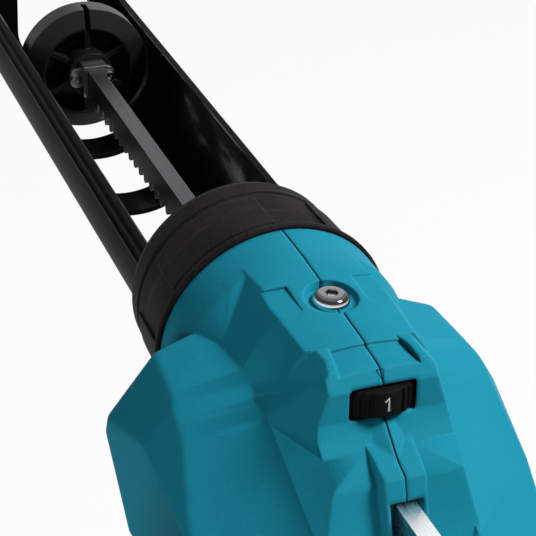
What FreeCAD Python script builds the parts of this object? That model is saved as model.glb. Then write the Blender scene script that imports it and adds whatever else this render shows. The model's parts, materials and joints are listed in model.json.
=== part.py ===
import FreeCAD
import Part
import math
import os
from FreeCAD import Placement, Rotation, Vector

# Cordless caulking tool, in millimetres.
# Working frame: X forward along the push rod, Y to the left, Z up, with zero on the rod's axis in the
# plane of the retaining ring's rear rim. save() moves each piece to the row frame, with zero at the middle
# of the battery's base.

# Clearances
RUNNING = 0.05          # radial play of a shaft in its bush
SLIDING = 0.3           # play beside flat sliding faces
APART = 0.35            # free gap between curved faces that move past each other
SEAM = 0.22             # each housing half stops this far from the middle plane
WALL = 2.5              # housing wall

# Push rod and its rack
ROD_WIDTH = 5.3
ROD_HEIGHT = 11.2
ROD_TOP = 4.2
ROD_FRONT = 173.4
ROD_REAR = -140.0
RACK_FRONT = 162.0
RACK_REAR = -118.0
RACK_MODULE = 1.75
PRESSURE_ANGLE = math.radians(20)
BACKLASH = 0.3

# Drive: rack pinion, output gear and the reducer's drive gear
PINION_X = -30.0
PINION_TEETH = 12
PINION_SHIFT = 0.32
PINION_WIDTH = 9.0
SHAFT_R = 5.0
BUSH_WALL = 2.0
GEAR_MODULE = 1.25
OUTPUT_TEETH = 18
DRIVE_TEETH = 10
GEAR_WIDTH = 5.0
MOTOR_Z = -18.0
MOTOR_R = 14.0
MOTOR_LENGTH = 15.0
REDUCER_LENGTH = 15.0
MOTOR_SHAFT_R = 2.5
CASE_HALF_WIDTH = 12.0
CASE_REAR = -58.0
CASE_STEP = -46.0
CASE_TOP = 15.0
CASE_BOTTOM = -31.0
COVER_WALL = 1.8

# Nose, retaining ring and cartridge holder
NECK_R = 33.1
NOSE_R = 29.6
NOSE_BORE_R = 24.8
NOSE_FRONT = 12.0
NOSE_REAR = -13.0
BULKHEAD = 6.0
GUIDE_DEPTH = 4.0
CLIP_OPENING = 5.0
RING_LENGTH = 33.0
RING_BAND = 22.0
RING_LIP_R = 34.2
RING_WALL = 1.7
RING_PAD = 1.1
RING_PADS = 4
HOLDER_R = 27.8
HOLDER_WALL = 2.2
HOLDER_FRONT = 228.0
HOLDER_END = 3.2
HOLDER_RAIL_Z = 10.2
HOLDER_RIDGE = 0.4
FLANGE = 3.0
WINDOW_PITCH = 43.0
WINDOW_LENGTH = 30.6
WINDOW_FIRST = 131.7
WINDOW_WIDTH = 26.0
NOZZLE_R = 14.2

# Push plate
PISTON_R = 23.0
PISTON_REAR = 178.5
PISTON_FRONT = 190.0
PISTON_DISH_R = 16.0

# Housing
BARREL_FRONT = -12.0
BARREL_BOTTOM = -48.0
SPINE_CROWN_R = 66.0
SCREW_X = -32.5
SCREW_SEAT = 30.4
SCREW_HEAD_R = 4.8
DIAL_R = 12.0
DIAL_WIDTH = 6.8
SLOT_HALF = 4.45

# Handle, foot and battery
FOOT_TOP = -168.0
FOOT_HEIGHT = 28.0
FOOT_HALF = 38.0
BATTERY_X = -44.0
CELLS_LONG = 5
CELL_ROWS = 2
CELL_R = 9.2
CELL_LENGTH = 65.0
PACK_END = 10.25
PACK_SIDE = 5.0
PACK_SPACE = 13.2
LID_HEIGHT = 10.0
RAIL_HALF = 24.0
RAIL_HEIGHT = 11.0
RAIL_GROOVE = 4.0

NECK_FRONT = -0.3
DRUM_ROUND = 4.0
TOP_BEND = 30.0
SIDE_BEND = 15.0
BELLY_ROUND = 6.0
FOOT_ROUND = 7.0
BOSS_R = 4.2
DIAL_PROUD = 2.6
DIAL_BASE = 14.0
WINDOW_HALF = 9.0
WINDOW_RISE = 8.2
WINDOW_ROUND = 1.3
GUIDE_REAR = -76.0
GUIDE_FRONT = -66.0
GUIDE_HALF = 7.5
FRONT_GUIDE_HALF = 6.0
GUIDE_BOTTOM = -12.0
GUIDE_TOP = 8.0
SCREW_R = 2.5
SCREW_WELL_R = 7.0
POCKET_FLOOR = 31.25
SMALL_SCREW_R = 1.5
SMALL_HEAD_R = 3.3
SMALL_SCREW_GRIP = 7.0
SMALL_SCREW_REACH = 12.0

# Controls
SWITCH_HALF = 9.0
TRIGGER_HALF = 7.5
TRIGGER_TOP = -64.0
TRIGGER_BOTTOM = -96.0
TRIGGER_TRAVEL = 6.0
LOCK_R = 4.5
LOCK_X = -47.0
LOCK_Z = -57.0
LOCK_TRAVEL = 4.0
LATCH_HALF = 11.0
LATCH_NOSE = 3.3
LATCH_TRAVEL = 4.0
LIP_LOW = 4.0
LIP_HEIGHT = 2.6
SCREW_HEAD = 2.75
SCREW_SOCKET = 1.75
SCREW_TIP = 9.0
GUIDE_PLAY = 0.15
DIAL_STEM_R = 3.0
CASE_SCREWS = [(-42.0, 11.2), (-24.5, 11.2), (-53.5, -27.2), (-17.0, -27.2)]
NOSE_SCREWS = [(8.5, 7.5), (-8.5, 7.5), (8.5, -18.5), (-8.5, -18.5)]
PIN_R = 2.0
CLIP_PIN_R = 1.2
CLIP_PIN_X = 171.2
CLIP_PLATE = 1.6
CLIP_REAR = 169.5
CLIP_HALF = 8.2
CLIP_SCREW_Y = 6.2
PLATE_X = 175.0
HUB_R = 8.4
PISTON_SCREW_R = 1.2
PISTON_HEAD_R = 1.8
NOSE_HEAD_R = 2.6
NOSE_HEAD = 1.8
GRIP_RISE = 0.8
GRIP_TOP = -98.0
GRIP_BOTTOM = -148.0
SWITCH_FRONT = -53.0
STEM_R = 3.0
BOARD_REAR = -62.0
BOARD_FRONT = -6.0
BOARD_HALF = 22.0
BOARD_Z = -180.0
LATCH_STEM = 8.0
BLADES = [-15.0, -5.0, 5.0, 15.0]
BLADE = 0.8
BLADE_HEIGHT = 6.0
CONTACT_SLOT = 1.2

FAR = 600.0
REACH = 120.0

battery_top = FOOT_TOP - FOOT_HEIGHT
battery_base = battery_top - 2 * CELL_ROWS * CELL_R - PACK_SPACE
TO_ROW = Vector(-BATTERY_X, 0, -battery_base)

rack_tip = ROD_TOP - ROD_HEIGHT
rack_pitch = math.pi * RACK_MODULE
pinion_r = RACK_MODULE * PINION_TEETH / 2
pinion_z = rack_tip + RACK_MODULE - pinion_r - PINION_SHIFT * RACK_MODULE
pinion_tip = pinion_r + RACK_MODULE * (1 + PINION_SHIFT)
gear_distance = GEAR_MODULE * (OUTPUT_TEETH + DRIVE_TEETH) / 2
motor_x = PINION_X - math.sqrt(gear_distance ** 2 - (MOTOR_Z - pinion_z) ** 2)
reducer_y = CASE_HALF_WIDTH + REDUCER_LENGTH
motor_y = reducer_y + MOTOR_LENGTH
gear_y = -CASE_HALF_WIDTH - 1.5
gear_end = gear_y - GEAR_WIDTH
holder_bore = HOLDER_R - HOLDER_WALL
cell_pitch = 2 * CELL_R + 0.3
battery_width = CELL_LENGTH + 2 * PACK_SIDE
battery_front = BATTERY_X + CELLS_LONG * cell_pitch / 2 + PACK_END
battery_rear = BATTERY_X - CELLS_LONG * cell_pitch / 2 - PACK_END
rail_rear = battery_rear + 37.0
latch_rear = battery_front - 8.5
latch_face = battery_front - 4.0
ring_bore = NOSE_R + 0.4
ring_base = ring_bore + RING_WALL

flange_front = NOSE_FRONT + 0.3 + FLANGE
channel_rear = battery_rear + 9.0
channel_half = RAIL_HALF + SLIDING
channel_top = battery_top + RAIL_HEIGHT + SLIDING
blade_low = battery_top + 2.0
lock_half = 17.5
SCREW_PLACES = [
    (-80.0, -32.0), (-26.0, -38.5), (-60.0, -112.0),
    (channel_rear, FOOT_TOP - 8), (battery_front - 11, FOOT_TOP - 8),
]

os.makedirs("parts", exist_ok=True)


def box(x0, x1, y0, y1, z0, z1):
    return Part.makeBox(x1 - x0, y1 - y0, z1 - z0, Vector(x0, y0, z0))


def rod_x(radius, x0, x1, y=0.0, z=0.0):
    return Part.makeCylinder(radius, x1 - x0, Vector(x0, y, z), Vector(1, 0, 0))


def rod_y(radius, y0, y1, x, z):
    return Part.makeCylinder(radius, y1 - y0, Vector(x, y0, z), Vector(0, 1, 0))


def rod_z(radius, z0, z1, x, y=0.0):
    return Part.makeCylinder(radius, z1 - z0, Vector(x, y, z0), Vector(0, 0, 1))


def polygon(points):
    return Part.Face(Part.makePolygon(points + points[:1]))


def prism_y(outline, y0, y1, inset=0.0):
    """Extrude an outline of (x, z) points from y0 to y1, shrunk all round by inset."""
    face = polygon([Vector(x, y0, z) for x, z in outline])
    if inset:
        face = face.makeOffset2D(-inset, 2)
    return face.extrude(Vector(0, y1 - y0, 0))


def revolve_x(outline):
    """Turn an outline of (x, radius) points about the rod's axis."""
    face = polygon([Vector(x, 0, r) for x, r in outline])
    return face.revolve(Vector(0, 0, 0), Vector(1, 0, 0), 360)


def beyond(point, normal):
    """The space outside a plane, as a block large enough to cut with."""
    block = Part.makeBox(FAR, FAR, FAR, Vector(-FAR / 2, -FAR / 2, 0))
    block.Placement = Placement(point, Rotation(Vector(0, 0, 1), normal))
    return block


def trim(solid, planes, inset=0.0):
    """Cut a solid to the inside of (point, normal) planes, moved inwards by inset."""
    for point, normal in planes:
        outward = Vector(*normal).normalize()
        solid = solid.cut(beyond(Vector(*point) - outward * inset, outward))
    return solid


def soften(solid, radius, keep):
    """Round the edges whose middle point passes the test."""
    edges = [e for e in solid.Edges if keep(e.CenterOfMass)]
    return solid.makeFillet(radius, edges)


def mirrored(shape):
    return shape.mirror(Vector(0, 0, 0), Vector(0, 1, 0))


def both_sides(shape):
    return [shape, mirrored(shape)]


def save(name, *solids):
    shape = solids[0] if len(solids) == 1 else Part.makeCompound(list(solids))
    shape = shape.copy()
    shape.translate(TO_ROW)
    shape.exportStep("parts/%s.step" % name)


def gear(module, teeth, shift, x, z, y0, y1, tooth_at):
    """A spur gear about a Y axis with one tooth centred at the angle tooth_at (from +X towards +Z)."""
    pitch_r = module * teeth / 2
    base_r = pitch_r * math.cos(PRESSURE_ANGLE)
    tip_r = pitch_r + module * (1 + shift)
    root_r = pitch_r - module * (1.25 - shift)
    thickness = module * (math.pi / 2 + 2 * shift * math.tan(PRESSURE_ANGLE)) - BACKLASH / 2

    def involute(angle):
        return math.tan(angle) - angle

    def half_angle(radius):
        pressure = math.acos(min(1.0, base_r / radius))
        return thickness / 2 / pitch_r + involute(PRESSURE_ANGLE) - involute(pressure)

    def at(radius, angle):
        return Vector(x + radius * math.cos(angle), y0, z + radius * math.sin(angle))

    low_r = max(base_r, root_r)
    mid_r = (low_r + tip_r) / 2
    step = 2 * math.pi / teeth
    edges = []
    for tooth in range(teeth):
        middle = tooth_at + tooth * step
        foot, half, tip = half_angle(low_r), half_angle(mid_r), half_angle(tip_r)
        if low_r > root_r:
            edges.append(Part.LineSegment(at(root_r, middle - foot), at(low_r, middle - foot)).toShape())
        rise = Part.Arc(at(low_r, middle - foot), at(mid_r, middle - half), at(tip_r, middle - tip))
        top = Part.Arc(at(tip_r, middle - tip), at(tip_r, middle), at(tip_r, middle + tip))
        fall = Part.Arc(at(tip_r, middle + tip), at(mid_r, middle + half), at(low_r, middle + foot))
        edges += [rise.toShape(), top.toShape(), fall.toShape()]
        if low_r > root_r:
            edges.append(Part.LineSegment(at(low_r, middle + foot), at(root_r, middle + foot)).toShape())
        after = middle + step - foot
        root = Part.Arc(at(root_r, middle + foot), at(root_r, middle + step / 2), at(root_r, after))
        edges.append(root.toShape())
    return Part.Face(Part.Wire(edges)).extrude(Vector(0, y1 - y0, 0))


def rounded_section(x, z, half_length, half_width):
    """A closed level outline of the handle: flat sides, with round front and rear ends."""
    flat = half_length - half_width * 0.8
    front = x + flat
    rear = x - flat
    points = [
        Part.LineSegment(Vector(rear, half_width, z), Vector(front, half_width, z)),
        Part.Arc(Vector(front, half_width, z), Vector(x + half_length, 0, z), Vector(front, -half_width, z)),
        Part.LineSegment(Vector(front, -half_width, z), Vector(rear, -half_width, z)),
        Part.Arc(Vector(rear, -half_width, z), Vector(x - half_length, 0, z), Vector(rear, half_width, z)),
    ]
    return Part.Wire([p.toShape() for p in points])


# Level sections down the handle: height, middle X, half length, half width
HANDLE = [
    (-34.0, -50.0, 25.0, 19.0),
    (-48.0, -52.0, 22.4, 17.4),
    (-62.0, -54.0, 21.2, 16.6),
    (-86.0, -57.0, 21.0, 16.6),
    (-110.0, -60.0, 21.4, 16.9),
    (-132.0, -63.0, 21.0, 16.7),
    (-150.0, -66.0, 21.2, 16.7),
    (FOOT_TOP + 4.0, -68.0, 23.0, 18.0),
    (FOOT_TOP - 8.0, -70.0, 27.0, 21.0),
]


def handle_loft(grow):
    wires = [rounded_section(x, z, a + grow, b + grow) for z, x, a, b in HANDLE]
    return Part.makeLoft(wires, True)


# Facets of the left half of the drive housing, as (point, outward normal)
TOP_FACET = ((-30, 33, 13.9), (0, 0.367, 0.93))
REAR_TOP_FACET = ((-39.2, 41.4, 10.4), (-0.513, 0.476, 0.714))
CHAMFER = ((-25, 41, 10.4), (0.04, 0.815, 0.578))
REAR_CHAMFER = ((-39.2, 41.4, 10.4), (-0.25, 0.83, 0.5))
SIDE = ((-20, 52.3, -10), (-0.124, 0.985, 0.1))
UNDERSIDE = ((-40, 50, -31.5), (0, 0.45, -0.89))
FRONT_UNDER = ((-18, 52, -18), (0.69, 0, -0.72))
REAR_FACE = ((-76.6, 0, 8.1), (-0.918, 0, 0.396))
LOBE_REAR = ((-84, 0, 8.1), (-0.918, 0, 0.396))
LOBE_Y = 19.0
REAR_UNDER = ((-93, 0, -28), (-0.85, 0.1, -0.52))
BARREL_FACETS = [
    TOP_FACET, REAR_TOP_FACET, CHAMFER, REAR_CHAMFER, SIDE, UNDERSIDE, FRONT_UNDER, LOBE_REAR, REAR_UNDER,
    ((BARREL_FRONT, 0, 0), (1, 0, 0)), ((0, 0, BARREL_BOTTOM), (0, 0, -1)),
]
FLANK = ((-36.4, 24.7, 16.9), (-0.069, 0.815, 0.576))
REAR_FLANK = ((-64.4, 17.2, 18.7), (-0.307, 0.889, 0.34))
BROW_FRONT = -9.0
BROW_REAR = -26.0
BROW_TOP = 33.0
BROW_HALF = 24.0
SHOULDER_X = -50.0
SHOULDER = ((-56, 12.4, 30.8), (0, 0.75, 0.66))
CROWN_START = (-12.6, 33.2)
CROWN_TILT = 3.0
CHEEK_OUTLINE = [(-51.2, 24.0), (-51.2, 30.7), (-56.0, 31.1), (-60.4, 30.2), (-62.2, 27.6), (-62.2, 24.0)]
PANEL_CORNERS = ((-52.5, 9.4), (-61.0, 10.8))
PANEL_DEPTH = 0.8

# Side outline of the spine, from the neck back over the dial face and the ledge, as (x, z)
SPINE_OUTLINE = [
    (-13.0, -20.0), (-13.0, 33.2), (-52.0, 31.1), (-61.0, 29.4), (-64.0, 26.5), (-65.1, 18.6), (-66.9, 15.6),
    (-70.2, 13.0), (-76.6, 8.1), (-88.7, -20.0),
]
DIAL_FACE = (Vector(-64.5, 0, 22.6), Vector(0.148, 0, 0.989))

# Raised surround of the rod slot, as (x, z)
SURROUND_OUTLINE = [
    (-68.6, 14.0), (-72.7, 13.0), (-79.1, 10.5), (-81.2, 5.4), (-90.0, -16.0), (-60.0, -16.0),
]


def barrel(inset=0.0):
    """Left half of the faceted drum that holds the motor and gears."""
    return trim(box(-REACH, REACH, 0, REACH, -REACH, REACH), BARREL_FACETS, inset)


def rear_channel(inset=0.0):
    """The space behind the rod slot, between the drum's two rear lobes."""
    outward = Vector(*REAR_FACE[1]).normalize()
    behind = beyond(Vector(*REAR_FACE[0]) - outward * inset, outward)
    return behind.common(box(-FAR, FAR, -FAR, LOBE_Y + inset, -FAR, FAR))


def on_facet(point, facet):
    return abs((point - Vector(*facet[0])).dot(Vector(*facet[1]).normalize())) < 0.02


def outer_drum():
    """The drum with its soft bends and rounded edges."""
    drum = barrel()
    for radius, first, second in ((TOP_BEND, TOP_FACET, REAR_TOP_FACET), (SIDE_BEND, CHAMFER, REAR_CHAMFER)):
        drum = soften(drum, radius, lambda c: on_facet(c, first) and on_facet(c, second))
    drum = soften(drum, DRUM_ROUND, lambda c: c.y > 0.5)
    return drum.cut(rear_channel()).Solids[0]


def spine(inset=0.0):
    """Left half of the ridge over the rod, with the dial face and the ledge at its rear."""
    solid = prism_y(SPINE_OUTLINE, 0, REACH, inset)
    solid = trim(solid.common(crown(inset)), [FLANK, REAR_FLANK], inset)
    outward = Vector(*SHOULDER[1]).normalize()
    shoulder = beyond(Vector(*SHOULDER[0]) - outward * inset, outward)
    return solid.cut(shoulder.common(box(-FAR, SHOULDER_X + inset, 0, FAR, -FAR, FAR))).Solids[0]


def crown(inset=0.0):
    """The wide, slightly tilted round that forms the ridge's top."""
    x, z = CROWN_START
    round_top = rod_x(SPINE_CROWN_R - inset, -REACH, 20, 0, z - SPINE_CROWN_R)
    round_top.rotate(Vector(x, 0, z), Vector(0, 1, 0), -CROWN_TILT)
    return round_top


def cheek():
    """Raised edge beside the panel over the dial window."""
    solid = prism_y(CHEEK_OUTLINE, 0, REACH)
    (x0, y0), (x1, y1) = PANEL_CORNERS
    inward = (y0 - y1, x1 - x0, 0)
    return trim(solid, [FLANK, REAR_FLANK, SHOULDER, ((x0, y0, 0), inward)])


def panel_pocket():
    """The shallow recess of the panel, between the two raised edges."""
    (x0, y0), (x1, y1) = PANEL_CORNERS
    outline = [(x0, -1), (x0, y0), (x1, y1), (x1 - 2, y1 + 0.3), (x1 - 2, -1)]
    face = polygon([Vector(x, y, 20) for x, y in outline])
    return face.extrude(Vector(0, 0, 20)).cut(crown(PANEL_DEPTH))


def brow(rise):
    """Left half of the blend from the round neck to the ridge's flatter crown, or the space above it."""
    half = BROW_HALF
    wires = []
    ends = ((BROW_FRONT, NECK_R, 0.0), (BROW_REAR, SPINE_CROWN_R, BROW_TOP - SPINE_CROWN_R))
    for x, radius, middle in ends:
        top = [Vector(x, y, middle + math.sqrt(radius ** 2 - y ** 2)) for y in (0, half / 2, half)]
        corners = [top[2], Vector(x, half, rise), Vector(x, 0, rise), top[0]]
        sides = [Part.makeLine(a, b) for a, b in zip(corners, corners[1:])]
        wires.append(Part.Wire([Part.Arc(*top).toShape()] + sides))
    return Part.makeLoft(wires, True, True)


def gusset():
    """Web between the round neck and the ridge's flank: a cone from the neck's end to the flank's foot."""
    end = -14.0
    apex = math.asin(29.6 / NECK_R)
    low = math.asin(13.0 / NECK_R)
    mid = (apex + low) / 2

    def at(angle):
        return Vector(end, NECK_R * math.cos(angle), NECK_R * math.sin(angle))

    inner = Vector(end, 10, 8)
    rim = Part.Arc(at(low), at(mid), at(apex)).toShape()
    sides = [Part.makeLine(at(apex), inner), Part.makeLine(inner, at(low))]
    foot = Vector(-25.5, 24.6, 17.2)
    return Part.makeLoft([Part.Wire([rim] + sides), Part.Vertex(foot)], True, True)


# Side outline of the belly that carries the gear case and grows into the handle, as (x, z)
BELLY_OUTLINE = [
    (-6.0, 0.0), (-6.0, -30.0), (-17.0, -41.0), (-42.0, -50.0), (-78.0, -50.0), (-82.0, -34.0),
    (-66.0, -12.0),
    (-50.0, 0.0),
]
BELLY_HALF = 25.0


def belly(inset=0.0):
    return prism_y(BELLY_OUTLINE, 0, BELLY_HALF - inset, inset)


def surround():
    """Left half of the raised block round the rod slot, narrower towards the rear."""
    solid = prism_y(SURROUND_OUTLINE, 0, 10)
    return trim(solid, [((-74, 5.8, 13.4), (-0.05, 0.95, 0))])


def neck():
    ring = rod_x(NECK_R, -14.2, NECK_FRONT)
    return ring.common(box(-60, 60, 0, 60, -60, 60))


def foot(inset=0.0):
    """Left half of the foot that carries the battery."""
    x0 = battery_rear + 1 + inset
    x1 = battery_front - 3 - inset
    block = box(x0, x1, -FOOT_HALF + inset, FOOT_HALF - inset, battery_top + inset, FOOT_TOP - inset)
    if not inset:
        block = soften(block, FOOT_ROUND, lambda c: abs(c.z - FOOT_TOP) < 0.1 or abs(c.z - battery_top) > 1)
    return block.common(box(-FAR, FAR, 0, FAR, -FAR, FAR))


def outer_half():
    drum = outer_drum()
    handle = handle_loft(0).common(box(-FAR, FAR, 0, FAR, -FAR, FAR))
    ridge = spine().cut(brow(REACH)).Solids[0]
    front = trim(brow(10.0).common(crown()), [FLANK])
    lower = soften(belly(), BELLY_ROUND, on_belly_edge)
    body = drum.fuse([ridge, cheek(), front, surround(), neck(), gusset(), lower, handle, foot()])
    return body.removeSplitter()


def on_belly_edge(point):
    return point.y > BELLY_HALF - 0.1 and point.z < -2


def cavity_half():
    bore = rod_x(NOSE_R + 0.1, -16.0, FAR).common(box(-60, 60, 0, 60, -60, 60))
    handle = handle_loft(-WALL).common(box(-FAR, FAR, 0, FAR, -FAR, FAR))
    drum = barrel(WALL).cut(rear_channel(WALL)).Solids[0]
    space = drum.fuse([spine(WALL), bore, belly(WALL), handle, foot(WALL)])
    return space.removeSplitter()


def dial_frame(shape):
    """Turn a shape built about Z into the dial's place: its axis lies along the dial face."""
    point, along = DIAL_FACE
    outward = Vector(-along.z, 0, along.x)
    shape = shape.copy()
    shape.Placement = Placement(point - outward * (DIAL_R - DIAL_PROUD), Rotation(Vector(0, 0, 1), along))
    return shape


def dial_window():
    """The window over the dial, with round corners."""
    opening = box(-DIAL_R - 6, 0, -WINDOW_HALF, WINDOW_HALF, -WINDOW_RISE / 2, WINDOW_RISE / 2)
    return soften(opening, WINDOW_ROUND, lambda c: abs(c.x + (DIAL_R + 6) / 2) < 0.1)


def housing_half():
    """The left housing half before its own screw holes: shell, bosses, ribs and openings."""
    solid = outer_half()
    shell = solid.cut(cavity_half())
    seats = [
        rod_z(BOSS_R + 1.5, CASE_TOP, SCREW_SEAT + 1, SCREW_X),
        box(GUIDE_REAR - 2, GUIDE_FRONT + 2, 0, GUIDE_HALF + 3, GUIDE_BOTTOM - 3, GUIDE_TOP + 3),
        box(-61, -53, DIAL_BASE / 2, 26, 9, 16),
        box(-69, -66, SWITCH_HALF, 30, -92, -66),
        box(-59, -56, SWITCH_HALF, 30, -92, -66),
        motor_cradle(),
        box(channel_rear - WALL, FAR, 0, channel_half + WALL, battery_top, channel_top + WALL),
    ]
    seats += [rod_y(BOSS_R, 0, 60, x, z) for x, z in SCREW_PLACES]
    seats += [rod_z(2.5, channel_top, BOARD_Z, x, BOARD_HALF - 4) for x in (BOARD_REAR + 5, BOARD_FRONT - 5)]
    shell = shell.fuse([seat.common(solid) for seat in seats])
    cuts = [
        dial_frame(dial_window()),
        dial_frame(rod_z(DIAL_R + 0.5, -WINDOW_RISE / 2, WINDOW_RISE / 2, 0)),
        box(-FAR, GUIDE_FRONT + 3, 0, SLOT_HALF, rack_tip - 3, ROD_TOP + 1.1),
        box(GUIDE_REAR, GUIDE_FRONT, 0, GUIDE_HALF, GUIDE_BOTTOM, GUIDE_TOP),
        rod_z(SCREW_WELL_R, SCREW_SEAT, REACH, SCREW_X),
        rod_z(SCREW_R + 0.2, 0, REACH, SCREW_X),
        box(-48, 0, 0, TRIGGER_HALF + SLIDING, TRIGGER_BOTTOM - SLIDING, TRIGGER_TOP + SLIDING),
        rod_y(LOCK_R + APART, 0, REACH, LOCK_X, LOCK_Z),
        box(channel_rear, FAR, 0, channel_half, battery_top - 1, channel_top),
        box(latch_rear - 3, FAR, 0, LATCH_HALF + 1, channel_top - 1, channel_top + LATCH_NOSE + 0.7),
        shoulder_pocket(),
        panel_pocket(),
        grip_pad(),
    ]
    for cut in cuts:
        shell = shell.cut(cut)
    lip_low = battery_top + LIP_LOW
    lip = box(rail_rear - 1, battery_front - 3 - WALL, RAIL_HALF - RAIL_GROOVE + SLIDING, channel_half + 1,
              lip_low, lip_low + LIP_HEIGHT)
    shell = shell.fuse(lip)
    return shell.cut(box(-FAR, FAR, -FAR, SEAM, -FAR, FAR)).removeSplitter()


def motor_cradle():
    reach = MOTOR_R + 10
    web = box(motor_x - reach, motor_x + reach, reducer_y + 6, reducer_y + 9,
              MOTOR_Z - 2 * reach, MOTOR_Z + reach)
    return web.cut(rod_y(MOTOR_R + 0.1, 0, FAR, motor_x, MOTOR_Z))


def shoulder_pocket():
    """Shallow pocket beside the screw, open to the ridge's flank."""
    outline = [(-23.0, 18.5), (-24.7, 8.9), (-35.4, 8.9), (-41.4, 14.2), (-41.4, 18.5)]
    face = polygon([Vector(x, y, POCKET_FLOOR) for x, y in outline])
    pocket = face.extrude(Vector(0, 0, 10))
    pocket.rotate(Vector(-30, 9, POCKET_FLOOR), Vector(1, 0, 0), -9)
    return pocket


def grip_pad():
    """Left half of the soft grip that wraps the back of the handle."""
    skin = handle_loft(GRIP_RISE).cut(handle_loft(-GRIP_RISE))
    return skin.common(box(-FAR, -52, SEAM + 0.6, FAR, GRIP_BOTTOM, GRIP_TOP))


def screw_y(x, z, y_head, y_tip, radius, head_r, head_height):
    """A pan screw along Y: its head is on the -Y side, with a plain drive socket."""
    shank = rod_y(radius, y_head, y_tip, x, z)
    head = rod_y(head_r, y_head - head_height, y_head, x, z)
    socket = rod_y(head_r * 0.45, y_head - head_height - 1, y_head - head_height / 2, x, z)
    return shank.fuse(head).cut(socket).removeSplitter()


def make_housing():
    left = housing_half()
    right = mirrored(left)
    screws = []
    for x, z in SCREW_PLACES:
        left = left.cut(rod_y(SMALL_SCREW_R + 0.02, 0, SMALL_SCREW_REACH + 1, x, z))
        right = right.cut(rod_y(SMALL_SCREW_R + 0.2, -60, 0, x, z))
        right = right.cut(rod_y(SMALL_HEAD_R + 0.3, -80, -SMALL_SCREW_GRIP, x, z))
        screws.append(screw_y(x, z, -SMALL_SCREW_GRIP, SMALL_SCREW_REACH, SMALL_SCREW_R, SMALL_HEAD_R, 2.4))
    save("left_housing", left)
    save("right_housing", right)
    save("housing_screws", *screws)
    save("left_grip", grip_pad())
    save("right_grip", mirrored(grip_pad()))
    shank = rod_z(SCREW_R, SCREW_TIP, SCREW_SEAT, SCREW_X)
    head = rod_z(SCREW_HEAD_R, SCREW_SEAT, SCREW_SEAT + SCREW_HEAD, SCREW_X)
    head = soften(head, SCREW_HEAD * 0.8, lambda c: c.z > SCREW_SEAT + SCREW_HEAD - 0.1)
    socket = Part.makePolygon([
        Vector(SCREW_X + SCREW_SOCKET * math.cos(a), SCREW_SOCKET * math.sin(a), SCREW_SEAT + 1)
        for a in [math.pi / 3 * k for k in range(7)]
    ])
    socket = Part.Face(socket).extrude(Vector(0, 0, 9))
    save("top_screw", shank.fuse(head).cut(socket).removeSplitter())


def make_gear_case():
    outline = [
        (NOSE_REAR, CASE_BOTTOM), (NOSE_REAR, CASE_TOP), (CASE_STEP, CASE_TOP), (CASE_STEP, rack_tip - 1.5),
        (CASE_REAR, rack_tip - 1.5), (CASE_REAR, CASE_BOTTOM),
    ]
    left = prism_y(outline, 0, CASE_HALF_WIDTH)
    cuts = [
        box(-FAR, FAR, -1, ROD_WIDTH / 2 + 0.6, rack_tip - 0.6, ROD_TOP + 0.6),
        rod_y(pinion_tip + 0.5, -1, PINION_WIDTH / 2 + 0.7, PINION_X, pinion_z),
        rod_y(SHAFT_R + BUSH_WALL + 0.02, 0, FAR, PINION_X, pinion_z),
        rod_y(MOTOR_SHAFT_R + RUNNING, -1, FAR, motor_x, MOTOR_Z),
        rod_z(SCREW_R + 0.02, SCREW_TIP - 0.5, 40, SCREW_X),
    ]
    for cut in cuts:
        left = left.cut(cut)
    right = mirrored(left)
    case_screws = []
    for x, z in CASE_SCREWS:
        left = left.cut(rod_y(SMALL_SCREW_R + 0.02, -1, CASE_HALF_WIDTH - 2, x, z))
        right = right.cut(rod_y(SMALL_SCREW_R + 0.2, -FAR, 1, x, z))
        right = right.cut(rod_y(SMALL_HEAD_R + 0.2, -FAR, -CASE_HALF_WIDTH + 2.6, x, z))
        case_screws.append(
            screw_y(x, z, -CASE_HALF_WIDTH + 2.6, CASE_HALF_WIDTH - 3, SMALL_SCREW_R, SMALL_HEAD_R, 2.2))
    nose_screws = []
    for y, z in NOSE_SCREWS:
        half = left if y > 0 else right
        half = half.cut(rod_x(SMALL_SCREW_R + 0.02, NOSE_REAR - 8.5, NOSE_REAR + 1, y, z))
        if y > 0:
            left = half
        else:
            right = half
        seat = NOSE_REAR + BULKHEAD
        shank = rod_x(SMALL_SCREW_R, NOSE_REAR - 8, seat, y, z)
        head = rod_x(NOSE_HEAD_R, seat, seat + NOSE_HEAD, y, z)
        socket = rod_x(NOSE_HEAD_R * 0.45, seat + NOSE_HEAD / 2, seat + 4, y, z)
        nose_screws.append(shank.fuse(head).cut(socket).removeSplitter())
    save("gear_case_left", left)
    save("gear_case_right", right)
    save("gear_case_screws", *case_screws)
    save("nose_screws", *nose_screws)


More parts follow.
